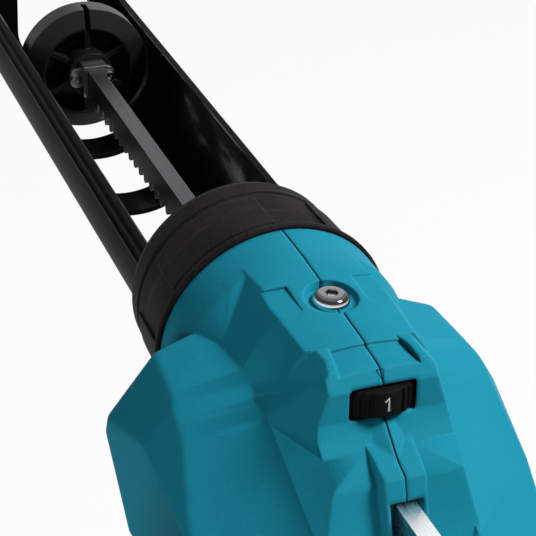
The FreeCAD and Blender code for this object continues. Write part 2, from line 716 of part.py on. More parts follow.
def make_nose():
    nose = rod_x(NOSE_R, NOSE_REAR, NOSE_FRONT).cut(rod_x(NOSE_BORE_R, NOSE_REAR + BULKHEAD, FAR))
    low, high = rack_tip - 3.5, ROD_TOP + 3.5
    seat = NOSE_REAR + GUIDE_DEPTH
    nose = nose.cut(box(NOSE_REAR - 1, seat, -FRONT_GUIDE_HALF, FRONT_GUIDE_HALF, low, high))
    nose = nose.cut(box(NOSE_REAR, FAR, -CLIP_OPENING, CLIP_OPENING,
                        rack_tip - 1, ROD_TOP + CLIP_PLATE + 0.8))
    for y, z in NOSE_SCREWS:
        nose = nose.cut(rod_x(SMALL_SCREW_R + 0.2, NOSE_REAR - 1, FAR, y, z))
    save("front_nose", nose.removeSplitter())
    opening = box(-FAR, FAR, -ROD_WIDTH / 2 - GUIDE_PLAY, ROD_WIDTH / 2 + GUIDE_PLAY,
                  rack_tip - GUIDE_PLAY, ROD_TOP + GUIDE_PLAY)
    guide = box(NOSE_REAR, seat, -FRONT_GUIDE_HALF, FRONT_GUIDE_HALF, low, high)
    save("front_rod_guide", guide.cut(opening))
    rear = box(GUIDE_REAR, GUIDE_FRONT, -GUIDE_HALF, GUIDE_HALF, GUIDE_BOTTOM, GUIDE_TOP)
    save("rear_rod_guide", rear.cut(opening))


def hull_y(c1, r1, c2, r2, y0, y1):
    """Two discs about Y axes joined by their outer tangents."""
    dx, dz = c2[0] - c1[0], c2[1] - c1[1]
    along = math.atan2(dz, dx)
    spread = math.acos((r1 - r2) / math.hypot(dx, dz))
    points = []
    for centre, radius, side in ((c1, r1, 1), (c2, r2, 1), (c2, r2, -1), (c1, r1, -1)):
        angle = along + side * spread
        points.append(Vector(centre[0] + radius * math.cos(angle), y0, centre[1] + radius * math.sin(angle)))
    web = polygon(points).extrude(Vector(0, y1 - y0, 0))
    return web.fuse([rod_y(r1, y0, y1, *c1), rod_y(r2, y0, y1, *c2)]).removeSplitter()


def make_drive():
    pinion_axis = (PINION_X, pinion_z)
    motor_axis = (motor_x, MOTOR_Z)
    pinion = gear(RACK_MODULE, PINION_TEETH, PINION_SHIFT, PINION_X, pinion_z,
                  -PINION_WIDTH / 2, PINION_WIDTH / 2, math.pi / 2)
    shaft = rod_y(SHAFT_R, gear_end, CASE_HALF_WIDTH - 0.4, *pinion_axis)
    save("pinion_shaft", pinion.fuse(shaft).removeSplitter())
    bushes = []
    for side in (1, -1):
        y0 = PINION_WIDTH / 2 + 0.7
        bush = rod_y(SHAFT_R + BUSH_WALL, y0, CASE_HALF_WIDTH, *pinion_axis)
        bush = bush.cut(rod_y(SHAFT_R + RUNNING, 0, FAR, *pinion_axis))
        bushes.append(bush if side > 0 else mirrored(bush))
    save("pinion_bushes", *bushes)
    theta = math.atan2(pinion_z - MOTOR_Z, PINION_X - motor_x)
    output = gear(GEAR_MODULE, OUTPUT_TEETH, 0, PINION_X, pinion_z, gear_end, gear_y,
                  theta + math.pi + math.pi / OUTPUT_TEETH)
    save("output_gear", output.cut(rod_y(SHAFT_R + 0.01, -FAR, FAR, *pinion_axis)))
    drive = gear(GEAR_MODULE, DRIVE_TEETH, 0, motor_x, MOTOR_Z, gear_end, gear_y, theta)
    drive = drive.fuse(rod_y(MOTOR_SHAFT_R, gear_end, CASE_HALF_WIDTH + 5, *motor_axis)).removeSplitter()
    save("drive_gear", drive)
    reducer = rod_y(MOTOR_R, CASE_HALF_WIDTH, reducer_y, *motor_axis)
    save("gear_reducer", reducer.cut(rod_y(MOTOR_SHAFT_R + RUNNING, 0, CASE_HALF_WIDTH + 5.4, *motor_axis)))
    can = rod_y(MOTOR_R, reducer_y, motor_y, *motor_axis)
    bell = rod_y(MOTOR_R - 4, motor_y, motor_y + 2.2, *motor_axis)
    save("motor", can.fuse(bell).removeSplitter())
    inner_1 = GEAR_MODULE * (OUTPUT_TEETH / 2 + 1) + 0.6
    inner_2 = GEAR_MODULE * (DRIVE_TEETH / 2 + 1) + 0.6
    floor = gear_end - 0.6
    cover = hull_y(pinion_axis, inner_1 + COVER_WALL, motor_axis, inner_2 + COVER_WALL,
                   floor - COVER_WALL, -CASE_HALF_WIDTH)
    cover = cover.cut(hull_y(pinion_axis, inner_1, motor_axis, inner_2, floor, 0))
    save("gear_cover", cover)


def make_rod():
    """The push rod is one flat bar with the rack cut along its lower edge."""
    pitch_line = rack_tip + RACK_MODULE
    root = rack_tip + 2.25 * RACK_MODULE
    slope = math.tan(PRESSURE_ANGLE)
    gap = rack_pitch / 4 + BACKLASH / 4
    wide = gap + (pitch_line - rack_tip) * slope
    narrow = gap - (root - pitch_line) * slope
    first = math.ceil((RACK_REAR - PINION_X) / rack_pitch)
    last = math.floor((RACK_FRONT - PINION_X) / rack_pitch)
    outline = [(ROD_FRONT, ROD_TOP), (ROD_REAR, ROD_TOP), (ROD_REAR, rack_tip)]
    for k in range(first, last + 1):
        x = PINION_X + k * rack_pitch
        outline += [(x - wide, rack_tip), (x - narrow, root), (x + narrow, root), (x + wide, rack_tip)]
    outline.append((ROD_FRONT, rack_tip))
    bar = prism_y(outline, -ROD_WIDTH / 2, ROD_WIDTH / 2)
    middle = (rack_tip + ROD_TOP) / 2
    bar = bar.cut(rod_y(PIN_R + 0.02, -FAR, FAR, ROD_REAR + 7, middle))
    bar = bar.cut(rod_y(CLIP_PIN_R + 0.02, -FAR, FAR, CLIP_PIN_X, middle + 1))
    save("rod", bar)
    save("rod_pin", rod_y(PIN_R, -5.4, 5.4, ROD_REAR + 7, middle))

    x0 = ROD_REAR - 40
    loop = box(x0, ROD_REAR + 2, -4.5, 4.5, middle - 18, middle + 18)
    loop = soften(loop, 13, lambda c: abs(c.y) < 0.1)
    hole = box(x0 + 8, ROD_REAR - 8, -9, 9, middle - 10, middle + 10)
    loop = loop.cut(soften(hole, 8, lambda c: abs(c.y) < 0.1))
    rims = [e for e in loop.Edges if abs(abs(e.CenterOfMass.y) - 4.5) < 0.1]
    loop = loop.makeFillet(2.0, rims)
    socket = box(ROD_REAR - 3, ROD_REAR + 14, -5.4, 5.4, rack_tip - 2.6, ROD_TOP + 2.6)
    loop = loop.fuse(socket)
    loop = loop.cut(box(ROD_REAR, FAR, -ROD_WIDTH / 2 - 0.02, ROD_WIDTH / 2 + 0.02,
                        rack_tip - 0.02, ROD_TOP + 0.02))
    loop = loop.cut(rod_y(PIN_R + 0.02, -FAR, FAR, ROD_REAR + 7, middle))
    save("rod_handle", loop.removeSplitter())


def make_piston():
    web = PISTON_FRONT - 3
    outline = [
        (PISTON_REAR, PISTON_DISH_R + 0.6), (PISTON_REAR + 2.5, PISTON_R), (PISTON_FRONT - 1.5, PISTON_R),
        (PISTON_FRONT, PISTON_R - 1.5), (PISTON_FRONT, 0), (PLATE_X, 0), (PLATE_X, HUB_R), (web, HUB_R),
        (web, PISTON_DISH_R + 1.0), (PISTON_REAR, PISTON_DISH_R),
    ]
    piston = revolve_x(outline)
    for k in range(6):
        rib = box(PISTON_REAR + 1.2, web, HUB_R - 1, PISTON_DISH_R + 1, -1.0, 1.0)
        rib.rotate(Vector(0, 0, 0), Vector(1, 0, 0), 30 + 60 * k)
        piston = piston.fuse(rib)
    piston = piston.cut(box(PISTON_REAR - 1, web - 1, -1, 1, PISTON_DISH_R - 1, PISTON_R + 1))
    screws = []
    for y in (-CLIP_SCREW_Y, CLIP_SCREW_Y):
        piston = piston.cut(rod_x(PISTON_SCREW_R + 0.02, PLATE_X - 1, PLATE_X + 7, y))
        shank = rod_x(PISTON_SCREW_R, PLATE_X - CLIP_PLATE, PLATE_X + 6, y)
        head = rod_x(PISTON_HEAD_R, PLATE_X - CLIP_PLATE - 1.5, PLATE_X - CLIP_PLATE, y)
        slot = rod_x(PISTON_HEAD_R * 0.45, 0, PLATE_X - CLIP_PLATE - 0.7, y)
        screws.append(shank.fuse(head).cut(slot).removeSplitter())
    save("piston", piston.removeSplitter())
    middle = (rack_tip + ROD_TOP) / 2
    inner = ROD_WIDTH / 2 + 0.02
    outer = inner + CLIP_PLATE
    plate = box(PLATE_X - CLIP_PLATE, PLATE_X, -CLIP_HALF, CLIP_HALF, -3.6, 3.6)
    plate = soften(plate, 2.5, lambda c: abs(c.x - PLATE_X + CLIP_PLATE / 2) < 0.1)
    saddle = box(CLIP_REAR, PLATE_X, -outer, outer, rack_tip + 1, ROD_TOP + CLIP_PLATE)
    saddle = saddle.cut(box(0, PLATE_X - CLIP_PLATE, -inner, inner, -FAR, ROD_TOP + 0.02))
    clip = plate.fuse(saddle).removeSplitter()
    clip = clip.cut(rod_y(CLIP_PIN_R + 0.02, -FAR, FAR, CLIP_PIN_X, middle + 1))
    for y in (-CLIP_SCREW_Y, CLIP_SCREW_Y):
        clip = clip.cut(rod_x(PISTON_SCREW_R + 0.2, 0, FAR, y))
    save("piston_clip", clip)
    save("piston_screws", *screws)
    save("clip_pin", rod_y(CLIP_PIN_R, -outer, outer, CLIP_PIN_X, middle + 1))


def make_ring():
    outline = [
        (0, ring_bore), (0, RING_LIP_R - 0.5), (0.5, RING_LIP_R), (1.8, RING_LIP_R), (3.4, ring_base),
        (RING_BAND, ring_base), (RING_BAND + 0.5, ring_base - 0.7), (RING_BAND + 1.5, ring_base - 0.7),
        (RING_BAND + 2, ring_base), (RING_LENGTH - 3.5, ring_base - 0.3),
        (RING_LENGTH - 1.2, ring_base - 1.2),
        (RING_LENGTH, ring_base - 2.4), (RING_LENGTH, HOLDER_R + 0.8), (flange_front + APART, HOLDER_R + 0.8),
        (flange_front + APART, ring_bore),
    ]
    ring = revolve_x(outline)
    for k in range(RING_PADS):
        low = ring_bore + RING_WALL / 2
        section = [(4, low), (4, ring_base - 0.1), (5, ring_base + RING_PAD),
                   (RING_BAND - 1.5, ring_base + RING_PAD / 2),
                   (RING_BAND - 0.5, ring_base - 0.1), (RING_BAND - 0.5, low)]
        face = polygon([Vector(x, 0, r) for x, r in section])
        face.rotate(Vector(0, 0, 0), Vector(1, 0, 0), -60 + 90 * k)
        ring = ring.fuse(face.revolve(Vector(0, 0, 0), Vector(1, 0, 0), 60))
    save("retaining_ring", ring.removeSplitter())


def make_holder():
    tube = rod_x(HOLDER_R, flange_front - FLANGE, HOLDER_FRONT)
    tube = tube.fuse(rod_x(NOSE_R, flange_front - FLANGE, flange_front))
    tube = tube.cut(rod_x(holder_bore, 0, HOLDER_FRONT - HOLDER_END))
    tube = tube.cut(box(RING_LENGTH + 1, HOLDER_FRONT - HOLDER_END, -40, 40, HOLDER_RAIL_Z, 40))
    tube = tube.cut(box(HOLDER_FRONT - HOLDER_END, FAR, -40, 40, HOLDER_RAIL_Z + 1.8, 40))
    slot = box(HOLDER_FRONT - HOLDER_END - 1, FAR, -NOZZLE_R, NOZZLE_R, -2, 40)
    slot = slot.fuse(rod_x(NOZZLE_R, HOLDER_FRONT - HOLDER_END - 1, FAR, 0, -2))
    tube = tube.cut(slot)
    for k in range(-2, 2):
        x = WINDOW_FIRST + WINDOW_PITCH * k
        tube = tube.cut(box(x, x + WINDOW_LENGTH, -WINDOW_WIDTH / 2, WINDOW_WIDTH / 2, -40, 0))
    for z in (HOLDER_RAIL_Z - 1.6, HOLDER_RAIL_Z - 4.6):
        y = math.sqrt(HOLDER_R ** 2 - z ** 2)
        ridge = box(RING_LENGTH + 3, HOLDER_FRONT - 4, y - 1.2, y + HOLDER_RIDGE, z - 0.7, z + 0.7)
        tube = tube.fuse(both_sides(ridge))
    save("holder", tube.removeSplitter())


def make_dial():
    half = DIAL_WIDTH / 2
    wheel = rod_z(DIAL_R, -half, half, 0)
    wheel = soften(wheel, 0.8, lambda c: abs(abs(c.z) - half) < 0.1)
    for k in range(6):
        for offset in (20, 30, 40):
            groove = rod_z(0.75, -half - 1, half + 1, DIAL_R + 0.2)
            groove.rotate(Vector(0, 0, 0), Vector(0, 0, 1), 60 * k + offset)
            wheel = wheel.cut(groove)
    stem = rod_z(DIAL_STEM_R, -half - 7, -half, 0)
    save("speed_dial", dial_frame(wheel.fuse(stem).removeSplitter()))
    low = DIAL_BASE / 2
    base = box(1 - low, low, -low, low, -half - 9, -half - APART)
    base = base.cut(rod_z(DIAL_STEM_R + RUNNING, -half - 7.5, 0, 0))
    save("dial_sensor", dial_frame(base))


def spring(radius, wire, start, along, length, turns):
    """A plain compression spring from a start point along an axis."""
    rise = length - 4 * wire
    helix = Part.makeHelix(rise / turns, rise, radius)
    helix.translate(Vector(0, 0, 2 * wire))
    circle = Part.Wire(Part.makeCircle(wire, Vector(radius, 0, 2 * wire), Vector(0, 1, 0)))
    coil = Part.Wire(helix).makePipeShell([circle], True, True)
    coil.Placement = Placement(start, Rotation(Vector(0, 0, 1), along))
    return coil


def make_trigger():
    mid = (TRIGGER_TOP + TRIGGER_BOTTOM) / 2
    rear = SWITCH_FRONT + TRIGGER_TRAVEL + 1
    shell = box(rear, -24, -TRIGGER_HALF, TRIGGER_HALF, TRIGGER_BOTTOM, TRIGGER_TOP)
    hollow = rod_y(34, -40, 40, 3.0, mid)
    shell = shell.cut(hollow)
    shell = soften(shell, 2.5, lambda c: c.x > rear + 1.5 and abs(abs(c.y) - TRIGGER_HALF) < 0.1)
    flange = box(rear, rear + 2.4, -TRIGGER_HALF - 1.7, TRIGGER_HALF + 1.7,
                 TRIGGER_BOTTOM - 2, TRIGGER_TOP + 2)
    stem = rod_x(STEM_R, SWITCH_FRONT - 4, rear + 1, 0, mid)
    save("trigger", shell.fuse([flange, stem]).removeSplitter())
    body = box(SWITCH_FRONT - 16, SWITCH_FRONT, -SWITCH_HALF, SWITCH_HALF,
               TRIGGER_BOTTOM + 2, TRIGGER_TOP - 2)
    body = body.cut(rod_x(STEM_R + APART, SWITCH_FRONT - 14, FAR, 0, mid))
    save("switch_body", body)
    save("trigger_spring", spring(2.1, 0.4, Vector(SWITCH_FRONT - 14, 0, mid), Vector(1, 0, 0), 10.0, 4))
    button = rod_y(LOCK_R, -lock_half, lock_half + LOCK_TRAVEL, LOCK_X, LOCK_Z)
    button = soften(button, 1.0, lambda c: abs(c.y) > lock_half - 0.1)
    save("lock_button", button)


def make_foot_pieces():
    block = box(channel_rear, rail_rear - 1.5, -channel_half, channel_half, battery_top + 0.6, channel_top)
    blades = []
    for y in BLADES:
        slot = box(rail_rear - 12, FAR, y - BLADE / 2, y + BLADE / 2, blade_low, blade_low + BLADE_HEIGHT)
        block = block.cut(slot)
        blades.append(box(rail_rear - 12, rail_rear + 10, y - BLADE / 2, y + BLADE / 2,
                          blade_low, blade_low + BLADE_HEIGHT))
    save("terminal_block", block)
    save("terminal_blades", *blades)
    save("control_board", box(BOARD_REAR, BOARD_FRONT, -BOARD_HALF, BOARD_HALF, BOARD_Z, BOARD_Z + 1.6))


def make_battery():
    lid_z = battery_top - LID_HEIGHT
    half = battery_width / 2
    case = box(battery_rear, battery_front, -half, half, battery_base, lid_z)
    case = soften(case, 8, lambda c: abs(c.z - (battery_base + lid_z) / 2) < 0.1)
    case = soften(case, 2, lambda c: c.z < battery_base + 0.1)
    case = case.cut(box(battery_rear + WALL, battery_front - WALL, -half + WALL, half - WALL,
                        battery_base + WALL, 0))
    corners = [(x, y) for x in (battery_rear + 5.4, battery_front - 5.4) for y in (-half + 5.2, half - 5.2)]
    frame = box(battery_rear + 0.5, battery_front - 0.5, -half + 0.5, half - 0.5, battery_base + 1, lid_z)
    frame = soften(frame, 7.5, lambda c: abs(c.z - (battery_base + 1 + lid_z) / 2) < 0.1)
    case = case.fuse([rod_z(4.2, battery_base + 1, lid_z, x, y).common(frame) for x, y in corners])
    shelf = battery_base + 16
    case = case.fuse(box(latch_rear - 1, battery_front - 1, -6, 6, shelf, shelf + 3))
    case = case.cut(box(latch_face - 0.3, FAR, -LATCH_HALF - SLIDING, LATCH_HALF + SLIDING,
                        lid_z - 20.6, lid_z + 1))
    lid = box(battery_rear, battery_front, -half, half, lid_z, battery_top)
    lid = soften(lid, 8, lambda c: abs(c.z - (battery_top + lid_z) / 2) < 0.1)
    lid = lid.cut(box(battery_rear + WALL, battery_front - WALL, -half + WALL, half - WALL,
                      2 * lid_z, battery_top - 3))
    inside = box(battery_rear + 0.5, battery_front - 0.5, -half + 0.5, half - 0.5, lid_z, battery_top)
    lid = lid.fuse([rod_z(4.2, lid_z, battery_top, x, y).common(inside) for x, y in corners])
    rail_top = battery_top + RAIL_HEIGHT
    rail = box(rail_rear, battery_front - 3, -RAIL_HALF, RAIL_HALF, battery_top - 1, rail_top)
    rail = rail.cut(box(rail_rear + 16, latch_rear - 4, -RAIL_HALF + 7, RAIL_HALF - 7,
                        battery_top - 3, rail_top - 3))
    groove = box(-FAR, FAR, RAIL_HALF - RAIL_GROOVE, FAR, battery_top + LIP_LOW - SLIDING,
                 battery_top + LIP_LOW + LIP_HEIGHT + SLIDING)
    for part in both_sides(groove):
        rail = rail.cut(part)
    for y in BLADES:
        rail = rail.cut(box(rail_rear - 1, rail_rear + 13, y - CONTACT_SLOT, y + CONTACT_SLOT,
                            battery_top + 0.5, rail_top - 1.5))
    lid = lid.fuse(rail)
    lid = lid.cut(box(latch_rear - SLIDING, latch_face + SLIDING,
                      -LATCH_STEM - SLIDING, LATCH_STEM + SLIDING, -FAR, 0))
    places = [(x, y) for x in (battery_rear + 22, battery_front - 32) for y in (-22, 22)]
    posts = [rod_z(2.5, battery_top - 6, battery_top - 2, x, y) for x, y in places]
    lid = lid.fuse(posts)
    screws = []
    for x, y in corners:
        case = case.cut(rod_z(SMALL_SCREW_R + 0.2, battery_base - 1, 0, x, y))
        case = case.cut(rod_z(SMALL_HEAD_R + 0.3, battery_base - 1, battery_base + 6, x, y))
        lid = lid.cut(rod_z(SMALL_SCREW_R + 0.02, lid_z - 1, battery_top - 1.5, x, y))
        shank = rod_z(SMALL_SCREW_R, battery_base + 6, battery_top - 2, x, y)
        head = rod_z(SMALL_HEAD_R, battery_base + 3.8, battery_base + 6, x, y)
        socket = rod_z(SMALL_HEAD_R * 0.45, battery_base, battery_base + 5, x, y)
        screws.append(shank.fuse(head).cut(socket).removeSplitter())
    save("battery_case", case.removeSplitter())
    save("battery_lid", lid.removeSplitter())
    save("battery_screws", *screws)
    cells = []
    for row in range(CELL_ROWS):
        for k in range(CELLS_LONG):
            x = BATTERY_X + (k - (CELLS_LONG - 1) / 2) * cell_pitch
            z = battery_base + WALL + 0.1 + CELL_R + row * (2 * CELL_R + 0.2)
            cells.append(rod_y(CELL_R, -CELL_LENGTH / 2, CELL_LENGTH / 2, x, z))
    save("battery_cells", *cells)
    board_top = battery_top - 6
    save("battery_board", box(battery_rear + 15, battery_front - 25, -27, 27, board_top - 1.6, board_top))
    contacts = []
    for y in BLADES:
        for side in (1, -1):
            near = y + side * (CONTACT_SLOT - 0.4)
            far = y + side * CONTACT_SLOT
            contacts.append(box(rail_rear + 1, rail_rear + 12, min(near, far), max(near, far),
                                battery_top + 1, rail_top - 2.5))
    save("battery_contacts", *contacts)
    top = rail_top + LATCH_NOSE
    stem = box(latch_rear, latch_face, -LATCH_STEM, LATCH_STEM, lid_z - 10, top)
    plate = box(latch_face, battery_front + 2, -LATCH_HALF, LATCH_HALF, lid_z - 16, lid_z - 0.6)
    plate = soften(plate, 1.2, lambda c: c.x > battery_front + 1.9)
    save("battery_latch", stem.fuse(plate).removeSplitter())
    save("latch_spring", spring(2.1, 0.4, Vector(latch_rear + 1.4, 0, shelf + 3), Vector(0, 0, 1),
                                lid_z - 10 - shelf - 3, 4))


make_housing()
make_gear_case()
make_nose()
make_drive()
make_rod()
make_piston()
make_ring()
make_holder()
make_dial()
make_trigger()
make_foot_pieces()
make_battery()
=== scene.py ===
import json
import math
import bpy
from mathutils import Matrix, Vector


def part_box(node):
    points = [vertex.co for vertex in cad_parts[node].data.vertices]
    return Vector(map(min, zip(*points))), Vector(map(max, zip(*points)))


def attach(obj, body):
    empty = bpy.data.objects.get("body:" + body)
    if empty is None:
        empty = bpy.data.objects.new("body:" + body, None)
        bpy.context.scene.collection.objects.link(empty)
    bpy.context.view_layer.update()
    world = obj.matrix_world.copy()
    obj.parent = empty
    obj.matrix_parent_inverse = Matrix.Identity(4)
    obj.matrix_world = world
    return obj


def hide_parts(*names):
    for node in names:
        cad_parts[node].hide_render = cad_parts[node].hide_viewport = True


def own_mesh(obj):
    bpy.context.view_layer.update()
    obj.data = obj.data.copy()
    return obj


bl_info = {
    "name": "Cordless Caulking Tool",
    "version": (1, 0, 0),
    "blender": (4, 5, 0),
    "location": "View3D > Sidebar > Caulking Tool",
    "description": "Dresses the caulking tool's solids with finishes and small marks, and sets up a studio",
    "category": "Object",
}

import bmesh
import bpy
from bpy.props import FloatProperty, FloatVectorProperty, PointerProperty
from mathutils import Matrix, Vector

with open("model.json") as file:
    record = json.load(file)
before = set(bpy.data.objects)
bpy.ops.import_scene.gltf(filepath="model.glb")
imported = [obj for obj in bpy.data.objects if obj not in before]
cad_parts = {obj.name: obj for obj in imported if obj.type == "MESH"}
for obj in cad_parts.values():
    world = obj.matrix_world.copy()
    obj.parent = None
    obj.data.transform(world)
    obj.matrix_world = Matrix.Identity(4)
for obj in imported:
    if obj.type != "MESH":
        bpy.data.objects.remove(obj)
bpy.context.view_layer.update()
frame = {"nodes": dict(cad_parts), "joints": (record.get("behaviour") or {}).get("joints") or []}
nodes = frame["nodes"]
joints = {joint["name"]: joint for joint in frame["joints"]}

# Vertices closer than this are joined, in copies of CAD meshes and in printed lines.
JOIN_CAD = 1e-6
JOIN_PRINT = 1e-7

# Places on the CAD solids. Rod, neck, ring and holder share one axis along X.
AXIS_HEIGHT = 0.246
BORE_RADIUS = 0.0262
BORE_FADE = 0.0004
# The rod is painted bright below the tooth root and behind ROD_BRIGHT: painted highlights.
TOOTH_ROOT = 0.2428
TOOTH_FADE = 0.0012
ROD_BRIGHT = 0.0
ROD_FADE = 0.03
# Height of the ridge screw's head, over which its painted reflections run.
SCREW_HEAD = 0.00275
DIAL_RADIUS = 0.012
DIAL_STEP = math.radians(60.0)

# Each housing half stops this far from the middle plane. The tongue between them is made from faces within
# reach of that, and enters each half by a bite, both in shares of the gap.
SEAM_GAP = 0.00022
SEAM_REACH = 1.1
SEAM_BITE = 0.3

# Front facet of the ridge, planed to a point where it meets the neck, and the web that it leaves standing.
FACET_CORNERS = [
    (0.0355, 0.01417, 0.27661), (0.0355, 0.0212, 0.26759), (0.0198, 0.025, 0.2639), (0.01, 0.0142, 0.27842),
]
FACET_OUT = (0.044, 0.788, 0.614)
FACET_DEPTH = 0.008
NECK_RADIUS = 0.03312
NECK_ENDS = (0.0298, 0.0598)
NECK_SEGMENTS = 360
WEB_ANGLES = (math.radians(23.1), math.radians(63.4))
WEB_START = 0.03
WEB_STEPS = 40
WEB_POINTS = [(0.03, 0.01, 0.254), (0.0185, 0.0246, 0.2632)]
SHELL_SHARP = math.radians(5.0)

# Setting pointer: a small triangle on the slope over the dial window, drawn in heights of a number.
POINTER_PLACE = (-0.01828, 0.0, 0.27424)
POINTER_RIGHT = (0.0, -1.0, 0.0)
POINTER_UP = (0.719, 0.0, 0.695)
POINTER_LINES = [[(-0.3, 0.42), (0.3, 0.42), (0.0, -0.42), (-0.3, 0.42)]]

# Lines of each number on the dial, in heights of the number from its middle.
DIGIT_LINES = {
    1: [[(-0.22, 0.24), (0.06, 0.5), (0.06, -0.5)]],
    2: [[(-0.28, 0.26), (-0.18, 0.45), (0.0, 0.5), (0.19, 0.44), (0.27, 0.25), (0.2, 0.03), (-0.29, -0.5),
         (0.3, -0.5)]],
    3: [[(-0.25, 0.36), (-0.1, 0.49), (0.11, 0.48), (0.24, 0.33), (0.21, 0.13), (0.0, 0.03), (0.24, -0.09),
         (0.28, -0.3), (0.14, -0.47), (-0.1, -0.49), (-0.27, -0.35)]],
    4: [[(0.14, -0.5), (0.14, 0.5), (-0.3, -0.2), (0.32, -0.2)]],
    5: [[(0.25, 0.5), (-0.19, 0.5), (-0.24, 0.05), (0.0, 0.14), (0.2, 0.07), (0.28, -0.14), (0.2, -0.38),
         (0.0, -0.5), (-0.26, -0.4)]],
}
PRINT_FLATNESS = 0.12

# Springs, as piece, CAD node, the joint that presses it and the body that holds its fixed end.
SPRINGS = [
    ("trigger_coil", "trigger_spring", "trigger_pull", "housing"),
    ("latch_coil", "latch_spring", "latch_press", "battery"),
]

# Scale of a noise that draws it out into lines across the tool.
LINES_ACROSS = (1.0, 0.1, 1.0)

# Camera, solved from the photo.
CAMERA_PLACE = (-0.281605, 0.149943, 0.485378)
CAMERA_RIGHT = (-0.37601, -0.92461, 0.06097)
CAMERA_UP = (0.5026, -0.1482, 0.8517)
CAMERA_LENS = 104.98
CAMERA_SENSOR = 36.0
CAMERA_NEAR = 0.02

# Studio: round lights, as name, place, width and the setting with their power, which all face one point.
LIGHTS = [
    ("key", (-0.26, -0.74, 1.40), 0.5, "key_power"),
    ("fill", (-0.40, 0.70, 0.14), 0.26, "fill_power"),
    ("front", (1.25, -0.55, 0.95), 0.9, "front_power"),
]
LIGHT_TARGET = Vector((0.04, 0.0, 0.24))

# The world looks white but casts little light. The floor is part white, part paper that takes the shadow.
WHITE = (1.0, 1.0, 1.0)
WORLD_LIGHT = 0.035
FLOOR_SIZE = 6.0
FLOOR_DROP = 0.0005
FLOOR_PAPER = (0.9, 0.9, 0.9)
FLOOR_WHITE = 0.9


def colour(name, description, default):
    return FloatVectorProperty(
        name=name, description=description, default=default, subtype="COLOR", size=3, min=0.0, max=1.0
    )


def length(name, description, default):
    return FloatProperty(
        name=name, description=description, default=default, min=0.0, unit="LENGTH", precision=5
    )


def power(name, description, default):
    return FloatProperty(name=name, description=description, default=default, unit="POWER")


class CaulkingToolColours(bpy.types.PropertyGroup):
    shell: colour("Shell", "Moulded housing halves", (0.013, 0.256, 0.365))
    holder: colour("Holder", "Cartridge holder", (0.0046, 0.0040, 0.0042))
    ring: colour("Ring", "Retaining ring", (0.0088, 0.0072, 0.0080))
    black: colour("Black plastic", "Trigger, dial, push plate and pull handle", (0.0085, 0.0078, 0.0080))
    battery: colour("Battery plastic", "Battery case, lid, latch and block", (0.0150, 0.0146, 0.0150))
    rubber: colour("Grip", "Soft grip on the handle", (0.012, 0.012, 0.013))
    # Painted light on the rod: its steel is set dark as painted shade of its reflections, with stains of its
    # own, and the bright steel is the painted highlight on its rear end and teeth and on the ridge screw's
    # rim.
    steel: colour("Rod steel", "Push rod inside the holder, darker than its painted-bright rear", (0.058, 0.061, 0.063))
    bright: colour("Steel highlight", "Rod's teeth and rear end, and the ridge screw's rim", (0.74, 0.75, 0.76))
    clip: colour("Clip steel", "Clip that holds the push plate on the rod", (0.30, 0.30, 0.305))
    plated: colour("Plated steel", "Screws, pins and springs", (0.30, 0.31, 0.32))
    # Painted dark reflection on the ridge screw's dome.
    chrome: colour("Chrome dark reflection", "Button-head screw on the ridge", (0.035, 0.036, 0.038))
    digits: colour("Digits", "Printed numbers on the dial", (0.85, 0.85, 0.84))
    gears: colour("Gear steel", "Gears, shaft, reducer and motor", (0.32, 0.32, 0.33))
    alloy: colour("Cast alloy", "Nose and gear case", (0.3, 0.3, 0.31))
    bronze: colour("Bronze", "Bushes and contacts", (0.55, 0.36, 0.14))
    nylon: colour("Nylon", "Rod guides and gear cover", (0.6, 0.58, 0.53))
    board: colour("Board", "Circuit boards", (0.01, 0.12, 0.04))
    cells: colour("Cells", "Sleeves of the battery's cells", (0.03, 0.16, 0.35))


class CaulkingToolSizes(bpy.types.PropertyGroup):
    shell_edge: length("Shell edge", "Rounding of the moulded shell's edges", 0.0015)
    ring_edge: length("Ring edge", "Rounding of the ring's pads and rims", 0.0007)
    small_edge: length("Small edge", "Rounding of the holder, push plate and controls", 0.0006)
    case_edge: length("Case edge", "Rounding of the battery and the pull handle", 0.0012)
    grip_edge: length("Grip edge", "Rounding of the soft grip", 0.0005)
    cast_edge: length("Cast edge", "Rounding of the nose and the gear case", 0.0004)
    metal_edge: length("Metal edge", "Broken edge of metal pieces", 0.0002)
    seam_depth: length("Seam depth", "Depth of the groove along the seam", 0.0006)
    digit_height: length("Digit height", "Height of the numbers on the dial", 0.0034)
    digit_stroke: length("Digit stroke", "Width of the numbers' lines", 0.00062)
    pointer_stroke: length("Pointer stroke", "Width of the setting pointer's lines", 0.00026)
    key_power: power("Key light", "Power of the main soft light", 25.0)
    fill_power: power("Fill light", "Power of the low light on the left", 1.7)
    front_power: power("Front light", "Power of the soft light ahead", 2.0)


def settings():
    scene = bpy.context.scene
    return scene.caulking_tool_colours, scene.caulking_tool_sizes


class Value:
    """A shader socket that can be used in sums and products."""

    def __init__(self, finish, socket):
        self.finish = finish
        self.socket = socket

    def maths(self, operation, first, second, **options):
        node = self.finish.node("ShaderNodeMath", {"operation": operation, **options}, {0: first, 1: second})
        return node.value()

    def __add__(self, other):
        return self.maths("ADD", self, other)

    def __radd__(self, other):
        return self.maths("ADD", other, self)

    def __sub__(self, other):
        return self.maths("SUBTRACT", self, other)

    def __rsub__(self, other):
        return self.maths("SUBTRACT", other, self)

    def __mul__(self, other):
        return self.maths("MULTIPLY", self, other)

    def __truediv__(self, other):
        return self.maths("DIVIDE", self, other)

    def __pow__(self, other):
        return self.maths("POWER", self, other)

    def held(self):
        """The value, held between 0 and 1."""
        return self.maths("ADD", self, 0.0, use_clamp=True)


class Made:
    """A node that has been added, with its sockets as values."""

    def __init__(self, finish, node):
        self.finish = finish
        self.node = node

    def value(self, output=0):
        return Value(self.finish, self.node.outputs[output])


